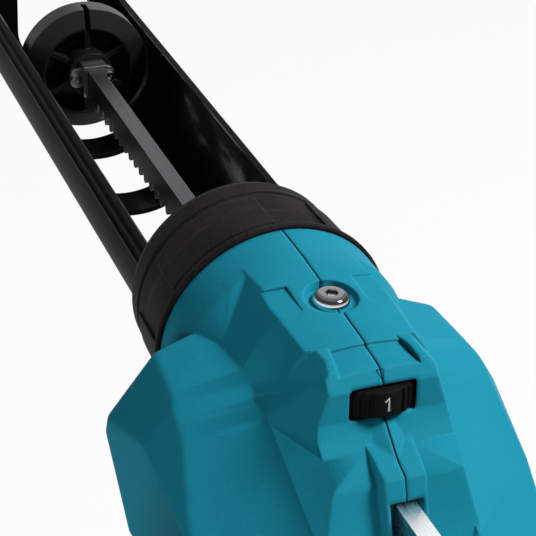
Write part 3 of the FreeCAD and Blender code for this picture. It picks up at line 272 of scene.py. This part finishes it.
class Finish:
    """A material or a world whose nodes are added one call at a time."""

    def __init__(self, name, library=None):
        library = bpy.data.materials if library is None else library
        self.owner = library.new(name)
        self.owner.use_nodes = True
        self.tree = self.owner.node_tree
        self.tree.nodes.clear()

    def node(self, kind, options=None, inputs=None):
        node = self.tree.nodes.new(kind)
        for key, option in (options or {}).items():
            if key == "stops":
                ramp = node.color_ramp.elements
                while len(ramp) < len(option):
                    ramp.new(0.5)
                for element, (position, shade) in zip(ramp, option):
                    element.position = position
                    element.color = (*shade, 1.0)
            else:
                setattr(node, key, option)
        for key, given in (inputs or {}).items():
            socket = node.inputs[key]
            if isinstance(given, Value):
                self.tree.links.new(given.socket, socket)
            elif socket.type == "RGBA" and len(given) == 3:
                socket.default_value = (*given, 1.0)
            else:
                socket.default_value = given
        return Made(self, node)

    def object_points(self):
        return self.node("ShaderNodeTexCoord").value("Object")

    def split(self, points):
        return self.node("ShaderNodeSeparateXYZ", None, {0: points})

    def noise(self, points, scale, detail=2.0, roughness=0.5, stretch=None):
        if stretch:
            points = self.node("ShaderNodeMapping", None, {"Vector": points, "Scale": stretch}).value()
        inputs = {"Vector": points, "Scale": scale, "Detail": detail, "Roughness": roughness}
        return self.node("ShaderNodeTexNoise", None, inputs).value("Fac")

    def grains(self, points, scale):
        inputs = {"Vector": points, "Scale": scale}
        return self.node("ShaderNodeTexVoronoi", {"feature": "F1"}, inputs).value("Distance")

    def blend(self, factor, first, second):
        node = self.node("ShaderNodeMix", {"data_type": "RGBA"}, {"Factor": factor, 6: first, 7: second})
        return node.value(2)

    def rounded(self, radius):
        return self.node("ShaderNodeBevel", {"samples": 6}, {"Radius": radius}).value()

    def bump(self, height, strength, depth, edge):
        """A normal with fine relief on it, over edges rounded by the given radius."""
        inputs = {"Height": height, "Strength": strength, "Distance": depth, "Normal": self.rounded(edge)}
        return self.node("ShaderNodeBump", None, inputs).value()

    def edge(self, radius, gain=4.0):
        """0 on flat faces, rising to about 1 where the surface turns sharply."""
        soft = self.rounded(radius)
        flat = self.node("ShaderNodeNewGeometry").value("Normal")
        dot = self.node("ShaderNodeVectorMath", {"operation": "DOT_PRODUCT"}, {0: soft, 1: flat})
        return ((1 - dot.value("Value")) * gain).held()

    def close(self, **inputs):
        named = {key.replace("_", " ").title(): given for key, given in inputs.items()}
        named = {key.replace("Ior", "IOR"): given for key, given in named.items()}
        shader = self.node("ShaderNodeBsdfPrincipled", None, named).value()
        self.node("ShaderNodeOutputMaterial", None, {"Surface": shader})
        return self.owner


def shaded(base, gain, lift=0.0):
    """A lighter or darker colour."""
    return tuple(min(1.0, channel * gain + lift) for channel in base)


def bore_worn(name, base, edge):
    """Moulded plastic whose bore has been rubbed glossy by cartridges sliding in it."""
    finish = Finish(name)
    points = finish.object_points()
    place = finish.split(points)
    out = (place.value("Y") ** 2 + (place.value("Z") - AXIS_HEIGHT) ** 2) ** 0.5
    inside = ((BORE_RADIUS - out) / BORE_FADE).held()
    fine = finish.noise(points, 2200.0)
    broad = finish.noise(points, 38.0, detail=3.0)
    streaks = finish.noise(points, 75.0, detail=4.0, roughness=0.6, stretch=(0.45, 1.0, 1.0))
    streaks = ((streaks - 0.42) * 4).held()
    rim = finish.edge(edge * 0.6)
    shade = finish.blend(broad, shaded(base, 0.8), base)
    # Painted highlight: the edges are made paler.
    shade = finish.blend(rim * 0.22, shade, shaded(base, 1.5, 0.01))
    gloss = (fine - 0.5) * 0.1 + (broad - 0.5) * 0.08 + 0.42
    relief = finish.bump(fine, 0.4, 0.00003, edge)
    return finish.close(base_color=shade, roughness=gloss.held(), normal=relief, specular_ior_level=0.01,
                        coat_weight=inside * streaks * 0.5, coat_roughness=0.16)


def moulded(name, base, edge, grain=1700.0, depth=0.00009, roughness=0.5, wear_and_sheen=0.35, specular=0.015,
            crisp=4.0):
    """Moulded plastic: fine spark texture, soft edges, slightly glossier along them and made paler there as a
    painted highlight.
    """
    finish = Finish(name)
    points = finish.object_points()
    broad = finish.noise(points, 38.0, detail=3.0)
    fine = finish.noise(points, grain)
    pits = finish.grains(points, grain * 0.5)
    rim = finish.edge(edge * 0.6, crisp)
    mottle = ((broad - 0.5) * 0.9 + (fine - 0.5) * 1.6 + 0.6).held()
    shade = finish.blend(mottle, shaded(base, 0.88), base)
    # Painted highlight: the edges are made paler by the given share.
    shade = finish.blend(rim * wear_and_sheen, shade, shaded(base, 1.45, 0.02))
    gloss = (fine - 0.5) * 0.14 + (broad - 0.5) * 0.08 + roughness - rim * 0.08
    relief = finish.bump(fine * 0.6 + pits * 0.4, 0.5, depth, edge)
    return finish.close(base_color=shade, roughness=gloss.held(), normal=relief, specular_ior_level=specular)


def scuffed(name, base, edge):
    """Coarse moulded plastic with pale specks, faint rubbed lines round the piece, and painted highlights
    along its edges.
    """
    finish = Finish(name)
    points = finish.object_points()
    coarse = finish.noise(points, 1000.0, detail=4.0, roughness=0.7)
    specks = ((finish.noise(points, 1900.0) - 0.6) * 8).held()
    rubbed = finish.noise(points, 240.0, detail=5.0, roughness=0.7, stretch=(0.9, 0.12, 0.12))
    rubbed = ((rubbed - 0.56) * 6).held()
    broad = finish.noise(points, 45.0, detail=3.0)
    rim = finish.edge(edge)
    wear_and_sheen = ((coarse - 0.5) * 3 + (broad - 0.5) * 2 + 0.5).held()
    # The specks and rubbed lines are the ring's own; the edge term is a painted highlight along its pads and
    # rims.
    marks = (specks * broad * 0.8 + rubbed * 0.25 + rim * 0.6).held()
    shade = finish.blend(wear_and_sheen, shaded(base, 0.4), shaded(base, 1.5))
    shade = finish.blend(marks, shade, shaded(base, 4.0, 0.012))
    gloss = 0.62 + (coarse - 0.5) * 0.3 - rubbed * 0.12
    relief = finish.bump(coarse + specks * 0.3, 0.8, 0.0002, edge)
    return finish.close(base_color=shade, roughness=gloss.held(), normal=relief, specular_ior_level=0.05)


def rod_steel(name, dull, bright, edge):
    """Rolled steel: stained and set dark inside the holder as painted shade of its reflections; its rear end
    and teeth are painted bright as painted highlights.
    """
    finish = Finish(name)
    points = finish.object_points()
    place = finish.split(points)
    teeth = ((TOOTH_ROOT - place.value("Z")) / TOOTH_FADE).held()
    lines = finish.noise(points, 900.0, detail=3.0, roughness=0.6, stretch=(0.03, 1.0, 1.0))
    stains = finish.noise(points, 70.0, detail=4.0, roughness=0.6)
    mottle = finish.noise(points, 1600.0, detail=3.0)
    # Painted highlight: bright behind ROD_BRIGHT and on the teeth, with a ragged edge from the stains.
    rear_and_teeth_sheen = ((ROD_BRIGHT - place.value("X")) / ROD_FADE + (stains - 0.5) * 0.8 + teeth * 1.2).held()
    patches = ((mottle - 0.5) * 1.5 + (stains - 0.5) + 0.5).held()
    shade = finish.blend(patches, shaded(dull, 0.7), dull)
    sheen_colour = finish.blend(lines, shaded(bright, 0.75), bright)
    shade = finish.blend(rear_and_teeth_sheen, shade, sheen_colour)
    shade = finish.blend(finish.edge(edge) * 0.5, shade, bright)
    gloss = 0.46 - rear_and_teeth_sheen * 0.2 + (lines - 0.5) * 0.2 + (mottle - 0.5) * 0.15
    relief = finish.bump(lines * 0.5 + mottle * 0.5, 0.3, 0.00004, edge)
    # The teeth are less metallic, so that their painted brightness shows from every side.
    metal = 1 - teeth * 0.6
    return finish.close(base_color=shade, metallic=metal, roughness=gloss.held(), normal=relief)


def brushed(name, base, stretch, edge, roughness=0.32):
    """Drawn, rolled or cast metal: fine lines or grain, with faint stains."""
    finish = Finish(name)
    points = finish.object_points()
    lines = finish.noise(points, 900.0, detail=3.0, roughness=0.6, stretch=stretch)
    broad = finish.noise(points, 55.0, detail=4.0)
    paler = shaded(base, 1.25)
    mottle = ((lines - 0.5) * 1.4 + (broad - 0.5) * 0.6 + 0.5).held()
    shade = finish.blend(mottle, shaded(base, 0.72), paler)
    shade = finish.blend(finish.edge(edge) * 0.4, shade, paler)
    gloss = (lines - 0.5) * 0.25 + (broad - 0.5) * 0.15 + roughness
    relief = finish.bump(lines, 0.25, 0.00003, edge)
    return finish.close(base_color=shade, metallic=1.0, roughness=gloss.held(), normal=relief)


def plated(name, base, edge, roughness=0.14):
    """Bright plated steel with faint handling marks."""
    finish = Finish(name)
    marks = finish.noise(finish.object_points(), 420.0, detail=4.0, roughness=0.7)
    shade = finish.blend(marks, shaded(base, 0.82), base)
    gloss = (marks - 0.4) * 0.22 + roughness
    relief = finish.bump(marks, 0.12, 0.00003, edge)
    return finish.close(base_color=shade, metallic=1.0, roughness=gloss.held(), normal=relief)


def domed_chrome(name, bright, dark, edge):
    """Chromed button head with painted reflections: a grey ring round the socket, a dark band on its dome,
    bright at the rim.
    """
    finish = Finish(name)
    points = finish.object_points()
    height = finish.split(points).value("Z")
    drop = ((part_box("top_screw")[1][2] - height) / SCREW_HEAD).held()
    # Painted reflections down the head, from its top to its rim.
    wear_and_sheen = shaded(dark, 3.5)
    stops = [(0.0, wear_and_sheen), (0.08, wear_and_sheen), (0.14, dark), (0.3, dark), (0.46, bright)]
    shade = finish.node("ShaderNodeValToRGB", {"stops": stops}, {0: drop}).value()
    marks = finish.noise(points, 420.0, detail=4.0, roughness=0.7)
    gloss = (marks - 0.4) * 0.15 + 0.07
    relief = finish.bump(marks, 0.1, 0.00003, edge)
    return finish.close(base_color=shade, metallic=1.0, roughness=gloss.held(), normal=relief)


def soft_grip(name, base, edge):
    """Soft moulded grip: small raised dots, quite matt."""
    finish = Finish(name)
    points = finish.object_points()
    dots = 1 - (finish.grains(points, 420.0) * 2.2).held()
    fine = finish.noise(points, 2400.0)
    shade = finish.blend(dots * 0.5, base, shaded(base, 1.8))
    gloss = 0.62 + (fine - 0.5) * 0.15 - dots * 0.08
    relief = finish.bump(dots + fine * 0.15, 0.5, 0.0002, edge)
    return finish.close(base_color=shade, roughness=gloss.held(), normal=relief, specular_ior_level=0.15)


def printed(name, base):
    """Printed ink, slightly worn."""
    finish = Finish(name)
    wear = finish.noise(finish.object_points(), 1500.0, detail=3.0)
    shade = finish.blend((wear - 0.3) * 1.5, shaded(base, 0.8), base)
    return finish.close(base_color=shade, roughness=0.5)


def dress(names, material):
    """Give CAD nodes one finish; their meshes stay as they are."""
    for name in names:
        mesh = nodes[name].data
        mesh.materials.clear()
        mesh.materials.append(material)


def merged(meshes, distance):
    """One bmesh of several meshes, with the vertices that coincide joined."""
    whole = bmesh.new()
    for mesh in meshes:
        whole.from_mesh(mesh)
    bmesh.ops.remove_doubles(whole, verts=whole.verts, dist=distance)
    return whole


def solid(name, mesh):
    """An object made from a bmesh, which is used up."""
    built = bpy.data.meshes.new(name)
    mesh.to_mesh(built)
    mesh.free()
    made = bpy.data.objects.new(name, built)
    bpy.context.scene.collection.objects.link(made)
    return made


def piece(name, mesh, material, body):
    """Add a finished bmesh as a piece that moves with a CAD body."""
    added = solid(name, mesh)
    added.data.materials.append(material)
    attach(added, body)
    return added


def placed(place, right, up):
    """A placement from a point and the directions to its right and its top."""
    right, up = Vector(right).normalized(), Vector(up).normalized()
    turn = Matrix((right, up, right.cross(up))).transposed()
    return Matrix.Translation(place) @ turn.to_4x4()


def grown(mesh, faces, step):
    """Grow faces of a bmesh into a closed block by one step."""
    geom = bmesh.ops.extrude_face_region(mesh, geom=faces, use_keep_orig=True)["geom"]
    far = [part for part in geom if isinstance(part, bmesh.types.BMVert)]
    bmesh.ops.translate(mesh, verts=far, vec=step)


def ribbon(lines, height, stroke):
    """A mesh of printed lines that lie flat, thin and round at the ends."""
    curve = bpy.data.curves.new("lines", "CURVE")
    curve.dimensions = "3D"
    curve.bevel_depth = stroke / 2
    curve.bevel_resolution = 2
    curve.use_fill_caps = True
    for line in lines:
        spline = curve.splines.new("POLY")
        spline.points.add(len(line) - 1)
        for point, (across, up) in zip(spline.points, line):
            point.co = (across * height, up * height, 0.0, 1.0)
    drawn = bpy.data.objects.new("lines", curve)
    bpy.context.scene.collection.objects.link(drawn)
    bpy.context.view_layer.update()
    mesh = bpy.data.meshes.new_from_object(drawn)
    bpy.data.objects.remove(drawn)
    mesh.transform(Matrix.Diagonal((1.0, 1.0, PRINT_FLATNESS, 1.0)))
    return mesh


def less(body, *tools):
    """A bmesh of what is left of a body when the tools are cut from it. Body and tools are used up."""
    for tool in tools:
        step = body.modifiers.new(tool.name, "BOOLEAN")
        step.operation = "DIFFERENCE"
        step.solver = "EXACT"
        step.object = tool
    left = bpy.data.meshes.new_from_object(body.evaluated_get(bpy.context.evaluated_depsgraph_get()))
    mesh = merged([left], JOIN_CAD)
    bmesh.ops.holes_fill(mesh, edges=[edge for edge in mesh.edges if edge.is_boundary])
    for used in (body, *tools):
        bpy.data.objects.remove(used)
    return mesh


def mirrored(mesh, side):
    """Turn a bmesh made for the left half to the given side, with its faces outwards."""
    bmesh.ops.scale(mesh, verts=mesh.verts, vec=(1.0, side, 1.0))
    bmesh.ops.recalc_face_normals(mesh, faces=mesh.faces)
    return mesh


def facet_space(side):
    """The space over the ridge's front facet, clear of the neck and of the web beside it."""
    space = bmesh.new()
    corners = [space.verts.new(corner) for corner in FACET_CORNERS]
    face = bmesh.ops.contextual_create(space, geom=corners)["faces"]
    grown(space, face, Vector(FACET_OUT) * FACET_DEPTH)
    neck = bmesh.new()
    rear, front = NECK_ENDS
    place = Matrix.Translation(((rear + front) / 2, 0.0, AXIS_HEIGHT)) @ Matrix.Rotation(math.pi / 2, 4, "Y")
    bmesh.ops.create_cone(neck, cap_ends=True, segments=NECK_SEGMENTS, radius1=NECK_RADIUS,
                          radius2=NECK_RADIUS, depth=front - rear, matrix=place)
    web = bmesh.new()
    low, high = WEB_ANGLES
    first = web.verts.new((WEB_START, NECK_RADIUS * math.cos(low), AXIS_HEIGHT + NECK_RADIUS * math.sin(low)))
    bmesh.ops.spin(web, geom=[first], cent=(WEB_START, 0.0, AXIS_HEIGHT), axis=(1.0, 0.0, 0.0),
                   angle=high - low, steps=WEB_STEPS)
    for point in WEB_POINTS:
        web.verts.new(point)
    bmesh.ops.convex_hull(web, input=web.verts)
    made = {"space": space, "neck": neck, "web": web}
    body, *tools = [solid(name, mirrored(mesh, side)) for name, mesh in made.items()]
    return solid("facet_space", less(body, *tools))


class CAULK_OT_shell(bpy.types.Operator):
    """Plane the ridge's front facet on both housing halves, and finish them and their grips"""

    bl_idname = "caulk.shell"
    bl_label = "Housing"

    def execute(self, context):
        colours, sizes = settings()
        # Strong, narrow painted highlight along the shell's edges.
        plastic = moulded("shell_plastic", colours.shell, sizes.shell_edge, wear_and_sheen=0.5, crisp=9.0)
        for name, node, side in (("left_shell", "left_housing", 1), ("right_shell", "right_housing", -1)):
            half = solid("half", merged([nodes[node].data], JOIN_CAD))
            shell = piece(name, less(half, facet_space(side)), plastic, "housing")
            shell.data.set_sharp_from_angle(angle=SHELL_SHARP)
            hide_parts(node)
        dress(["left_grip", "right_grip"], soft_grip("grip_rubber", colours.rubber, sizes.grip_edge))
        return {"FINISHED"}


class CAULK_OT_seam(bpy.types.Operator):
    """Close the seam with the tongue that runs inside it, along the left half's edge"""

    bl_idname = "caulk.seam"
    bl_label = "Seam Tongue"

    def execute(self, context):
        colours, sizes = settings()
        tongue = merged([nodes["left_housing"].data], JOIN_CAD)
        reach = SEAM_GAP * SEAM_REACH
        beyond = [face for face in tongue.faces if max(vert.co.y for vert in face.verts) > reach]
        bmesh.ops.delete(tongue, geom=beyond, context="FACES")
        rim = bmesh.ops.inset_region(
            tongue, faces=tongue.faces[:], thickness=sizes.seam_depth, use_boundary=True
        )
        bmesh.ops.delete(tongue, geom=rim["faces"], context="FACES")
        tongue.normal_update()
        turned = [face for face in tongue.faces if face.normal.y > 0]
        bmesh.ops.delete(tongue, geom=turned, context="FACES")
        bite = SEAM_GAP * SEAM_BITE
        bmesh.ops.translate(tongue, verts=tongue.verts, vec=(0.0, bite, 0.0))
        grown(tongue, tongue.faces[:], (0.0, -2 * (SEAM_GAP + bite), 0.0))
        bmesh.ops.recalc_face_normals(tongue, faces=tongue.faces)
        # Painted shade: the tongue takes the shell's colour darkened, as the seam's shade.
        plastic = moulded("tongue_plastic", shaded(colours.shell, 0.2), edge=0.0002)
        piece("seam_tongue", tongue, plastic, "housing")
        return {"FINISHED"}


class CAULK_OT_ring(bpy.types.Operator):
    """Finish the retaining ring"""

    bl_idname = "caulk.ring"
    bl_label = "Retaining Ring"

    def execute(self, context):
        colours, sizes = settings()
        dress(["retaining_ring"], scuffed("ring_plastic", colours.ring, sizes.ring_edge))
        return {"FINISHED"}


class CAULK_OT_holder(bpy.types.Operator):
    """Finish the cartridge holder and the push plate"""

    bl_idname = "caulk.holder"
    bl_label = "Cartridge Holder"

    def execute(self, context):
        colours, sizes = settings()
        dress(["holder"], bore_worn("holder_plastic", colours.holder, sizes.small_edge))
        smooth = moulded("piston_plastic", colours.black, sizes.small_edge, grain=2200.0, depth=0.00002,
                         roughness=0.36, wear_and_sheen=0.8, specular=0.14)
        dress(["piston"], smooth)
        return {"FINISHED"}


class CAULK_OT_rod(bpy.types.Operator):
    """Finish the push rod, its clip, pins and pull handle"""

    bl_idname = "caulk.rod"
    bl_label = "Push Rod"

    def execute(self, context):
        colours, sizes = settings()
        dress(["rod"], rod_steel("rod_steel", colours.steel, colours.bright, sizes.metal_edge))
        dress(["piston_clip"], brushed("clip_steel", colours.clip, LINES_ACROSS, sizes.metal_edge, 0.36))
        dress(["piston_screws", "clip_pin", "rod_pin"], plated("pin_steel", colours.plated, sizes.metal_edge))
        dress(["rod_handle"], moulded("handle_plastic", colours.black, sizes.case_edge))
        return {"FINISHED"}


class CAULK_OT_controls(bpy.types.Operator):
    """Finish the trigger, switch, lock button and speed dial"""

    bl_idname = "caulk.controls"
    bl_label = "Controls"

    def execute(self, context):
        colours, sizes = settings()
        black = moulded("control_plastic", colours.black, sizes.small_edge, grain=2200.0, depth=0.00004,
                        roughness=0.4, wear_and_sheen=0.25)
        dress(["trigger", "lock_button", "speed_dial", "dial_sensor", "switch_body"], black)
        return {"FINISHED"}


class CAULK_OT_digits(bpy.types.Operator):
    """Print the setting numbers on the dial's flat lands"""

    bl_idname = "caulk.digits"
    bl_label = "Dial Numbers"

    def execute(self, context):
        colours, sizes = settings()
        joint = joints["dial_turn"]
        axis = Vector(joint["axis"]).normalized()
        centre = Vector(joint["pos_m"])
        back = Vector((-1.0, 0.0, 0.0))
        rear = (back - axis * axis.dot(back)).normalized()
        side = axis.cross(rear)
        flats = []
        for setting, lines in DIGIT_LINES.items():
            flat = ribbon(lines, sizes.digit_height, sizes.digit_stroke)
            digit = bmesh.new()
            digit.from_mesh(flat)
            for vert in digit.verts:
                angle = vert.co.x / DIAL_RADIUS - DIAL_STEP * (setting - 1)
                out = rear * math.cos(angle) + side * math.sin(angle)
                vert.co = centre + out * (DIAL_RADIUS + vert.co.z) + axis * vert.co.y
            digit.to_mesh(flat)
            digit.free()
            flats.append(flat)
        whole = merged(flats, JOIN_PRINT)
        for flat in flats:
            bpy.data.meshes.remove(flat)
        bmesh.ops.recalc_face_normals(whole, faces=whole.faces)
        piece("dial_digits", whole, printed("digit_ink", colours.digits), "dial")
        return {"FINISHED"}


class CAULK_OT_pointer(bpy.types.Operator):
    """Mark the setting pointer on the seam over the dial window"""

    bl_idname = "caulk.pointer"
    bl_label = "Setting Pointer"

    def execute(self, context):
        colours, sizes = settings()
        flat = ribbon(POINTER_LINES, sizes.digit_height, sizes.pointer_stroke)
        flat.transform(placed(POINTER_PLACE, POINTER_RIGHT, POINTER_UP))
        mark = merged([flat], JOIN_PRINT)
        bpy.data.meshes.remove(flat)
        bmesh.ops.recalc_face_normals(mark, faces=mark.faces)
        line = moulded("pointer_line", shaded(colours.shell, 0.25), edge=0.0001)
        piece("setting_pointer", mark, line, "housing")
        return {"FINISHED"}


class CAULK_OT_battery(bpy.types.Operator):
    """Finish the battery's case, lid and latch, and the block that it slides onto"""

    bl_idname = "caulk.battery"
    bl_label = "Battery"

    def execute(self, context):
        colours, sizes = settings()
        black = moulded("battery_plastic", colours.battery, sizes.case_edge, grain=1500.0, depth=0.0001,
                        roughness=0.45, wear_and_sheen=0.4, specular=0.08)
        dress(["battery_case", "battery_lid", "battery_latch", "terminal_block"], black)
        return {"FINISHED"}


class CAULK_OT_fasteners(bpy.types.Operator):
    """Finish the screws and the pieces inside the tool"""

    bl_idname = "caulk.fasteners"
    bl_label = "Screws And Drive"

    def execute(self, context):
        colours, sizes = settings()
        bright = plated("screw_plate", colours.plated, sizes.metal_edge, 0.12)
        dress(["housing_screws", "nose_screws", "gear_case_screws", "battery_screws"], bright)
        dress(["top_screw"], domed_chrome("screw_chrome", colours.bright, colours.chrome, sizes.metal_edge))
        steel = brushed("gear_steel", colours.gears, LINES_ACROSS, sizes.metal_edge)
        dress(["pinion_shaft", "output_gear", "drive_gear", "motor", "gear_reducer"], steel)
        alloy = brushed("cast_alloy", colours.alloy, (1.0, 1.0, 1.0), sizes.cast_edge, 0.5)
        dress(["front_nose", "gear_case_left", "gear_case_right"], alloy)
        bronze = brushed("bronze", colours.bronze, (1.0, 0.2, 1.0), sizes.metal_edge, 0.35)
        dress(["pinion_bushes", "terminal_blades", "battery_contacts"], bronze)
        nylon = moulded("nylon", colours.nylon, edge=0.0003, grain=2000.0, depth=0.00003, wear_and_sheen=0.1)
        dress(["front_rod_guide", "rear_rod_guide", "gear_cover"], nylon)
        board = moulded("board_resist", colours.board, edge=0.0002, grain=1200.0, depth=0.00004,
                        roughness=0.35, wear_and_sheen=0.1)
        dress(["control_board", "battery_board"], board)
        sleeve = moulded("cell_sleeve", colours.cells, edge=0.0005, grain=1500.0, depth=0.00002,
                         roughness=0.3, wear_and_sheen=0.1)
        dress(["battery_cells"], sleeve)
        return {"FINISHED"}


class CAULK_OT_springs(bpy.types.Operator):
    """Copy the trigger's and the latch's springs as pieces held by their bodies"""

    bl_idname = "caulk.springs"
    bl_label = "Springs"

    def execute(self, context):
        colours, sizes = settings()
        steel = plated("spring_steel", colours.plated, sizes.metal_edge, 0.25)
        for name, node, joint, body in SPRINGS:
            spring = piece(name, merged([nodes[node].data], JOIN_CAD), steel, body)
            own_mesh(spring)
            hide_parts(node)
        return {"FINISHED"}


class CAULK_OT_stage(bpy.types.Operator):
    """Add the floor, the white world, the lights and the camera"""

    bl_idname = "caulk.stage"
    bl_label = "Studio"

    def execute(self, context):
        scene = context.scene
        scene.view_settings.view_transform = "Standard"
        self.floor()
        self.world(scene)
        for light in LIGHTS:
            self.light(scene, *light)
        self.camera(scene)
        return {"FINISHED"}

    def seen_directly(self, finish):
        path = finish.node("ShaderNodeLightPath")
        seen = path.value("Is Camera Ray") + path.value("Is Glossy Ray") + path.value("Is Transmission Ray")
        return seen.held()

    def floor(self):
        mesh = bmesh.new()
        bmesh.ops.create_grid(mesh, x_segments=1, y_segments=1, size=FLOOR_SIZE)
        bmesh.ops.translate(mesh, verts=mesh.verts, vec=(0.0, 0.0, -FLOOR_DROP))
        floor = solid("floor", mesh)
        finish = Finish("floor_paper")
        lit = finish.node("ShaderNodeBsdfDiffuse", None, {"Color": FLOOR_PAPER}).value()
        white = finish.node("ShaderNodeEmission", None, {"Color": WHITE, "Strength": 1.0}).value()
        share = self.seen_directly(finish) * FLOOR_WHITE
        mix = finish.node("ShaderNodeMixShader", None, {0: share, 1: lit, 2: white}).value()
        finish.node("ShaderNodeOutputMaterial", None, {"Surface": mix})
        floor.data.materials.append(finish.owner)

    def world(self, scene):
        finish = Finish("studio", bpy.data.worlds)
        strength = self.seen_directly(finish) * (1 - WORLD_LIGHT) + WORLD_LIGHT
        sky = finish.node("ShaderNodeBackground", None, {"Color": WHITE, "Strength": strength}).value()
        finish.node("ShaderNodeOutputWorld", None, {"Surface": sky})
        scene.world = finish.owner

    def light(self, scene, name, place, width, power_setting):
        data = bpy.data.lights.new(name, "AREA")
        data.shape = "DISK"
        data.size = width
        data.energy = getattr(scene.caulking_tool_sizes, power_setting)
        lamp = bpy.data.objects.new(name, data)
        lamp.location = place
        lamp.rotation_euler = (Vector(place) - LIGHT_TARGET).to_track_quat("Z", "Y").to_euler()
        scene.collection.objects.link(lamp)

    def camera(self, scene):
        data = bpy.data.cameras.new("photo_view")
        data.lens = CAMERA_LENS
        data.sensor_width = CAMERA_SENSOR
        data.clip_start = CAMERA_NEAR
        camera = bpy.data.objects.new("photo_view", data)
        camera.matrix_world = placed(CAMERA_PLACE, CAMERA_RIGHT, CAMERA_UP)
        scene.collection.objects.link(camera)
        scene.camera = camera


STEPS = (
    CAULK_OT_shell, CAULK_OT_seam, CAULK_OT_ring, CAULK_OT_holder, CAULK_OT_rod, CAULK_OT_controls,
    CAULK_OT_digits, CAULK_OT_pointer, CAULK_OT_battery, CAULK_OT_fasteners, CAULK_OT_springs, CAULK_OT_stage,
)


class CAULK_PT_panel(bpy.types.Panel):
    bl_label = "Caulking Tool"
    bl_idname = "CAULK_PT_panel"
    bl_space_type = "VIEW_3D"
    bl_region_type = "UI"
    bl_category = "Caulking Tool"

    def draw(self, context):
        for step in STEPS:
            self.layout.operator(step.bl_idname)
        for group in settings():
            box = self.layout.box()
            for name in group.bl_rna.properties.keys():
                if name not in ("rna_type", "name"):
                    box.prop(group, name)


CLASSES = (CaulkingToolColours, CaulkingToolSizes, *STEPS, CAULK_PT_panel)


def register():
    for cls in CLASSES:
        bpy.utils.register_class(cls)
    bpy.types.Scene.caulking_tool_colours = PointerProperty(type=CaulkingToolColours)
    bpy.types.Scene.caulking_tool_sizes = PointerProperty(type=CaulkingToolSizes)


def unregister():
    del bpy.types.Scene.caulking_tool_sizes
    del bpy.types.Scene.caulking_tool_colours
    for cls in reversed(CLASSES):
        bpy.utils.unregister_class(cls)


def main():
    register()
    for step in STEPS:
        group, name = step.bl_idname.split(".")
        getattr(getattr(bpy.ops, group), name)()


if __name__ == "__main__":
    main()
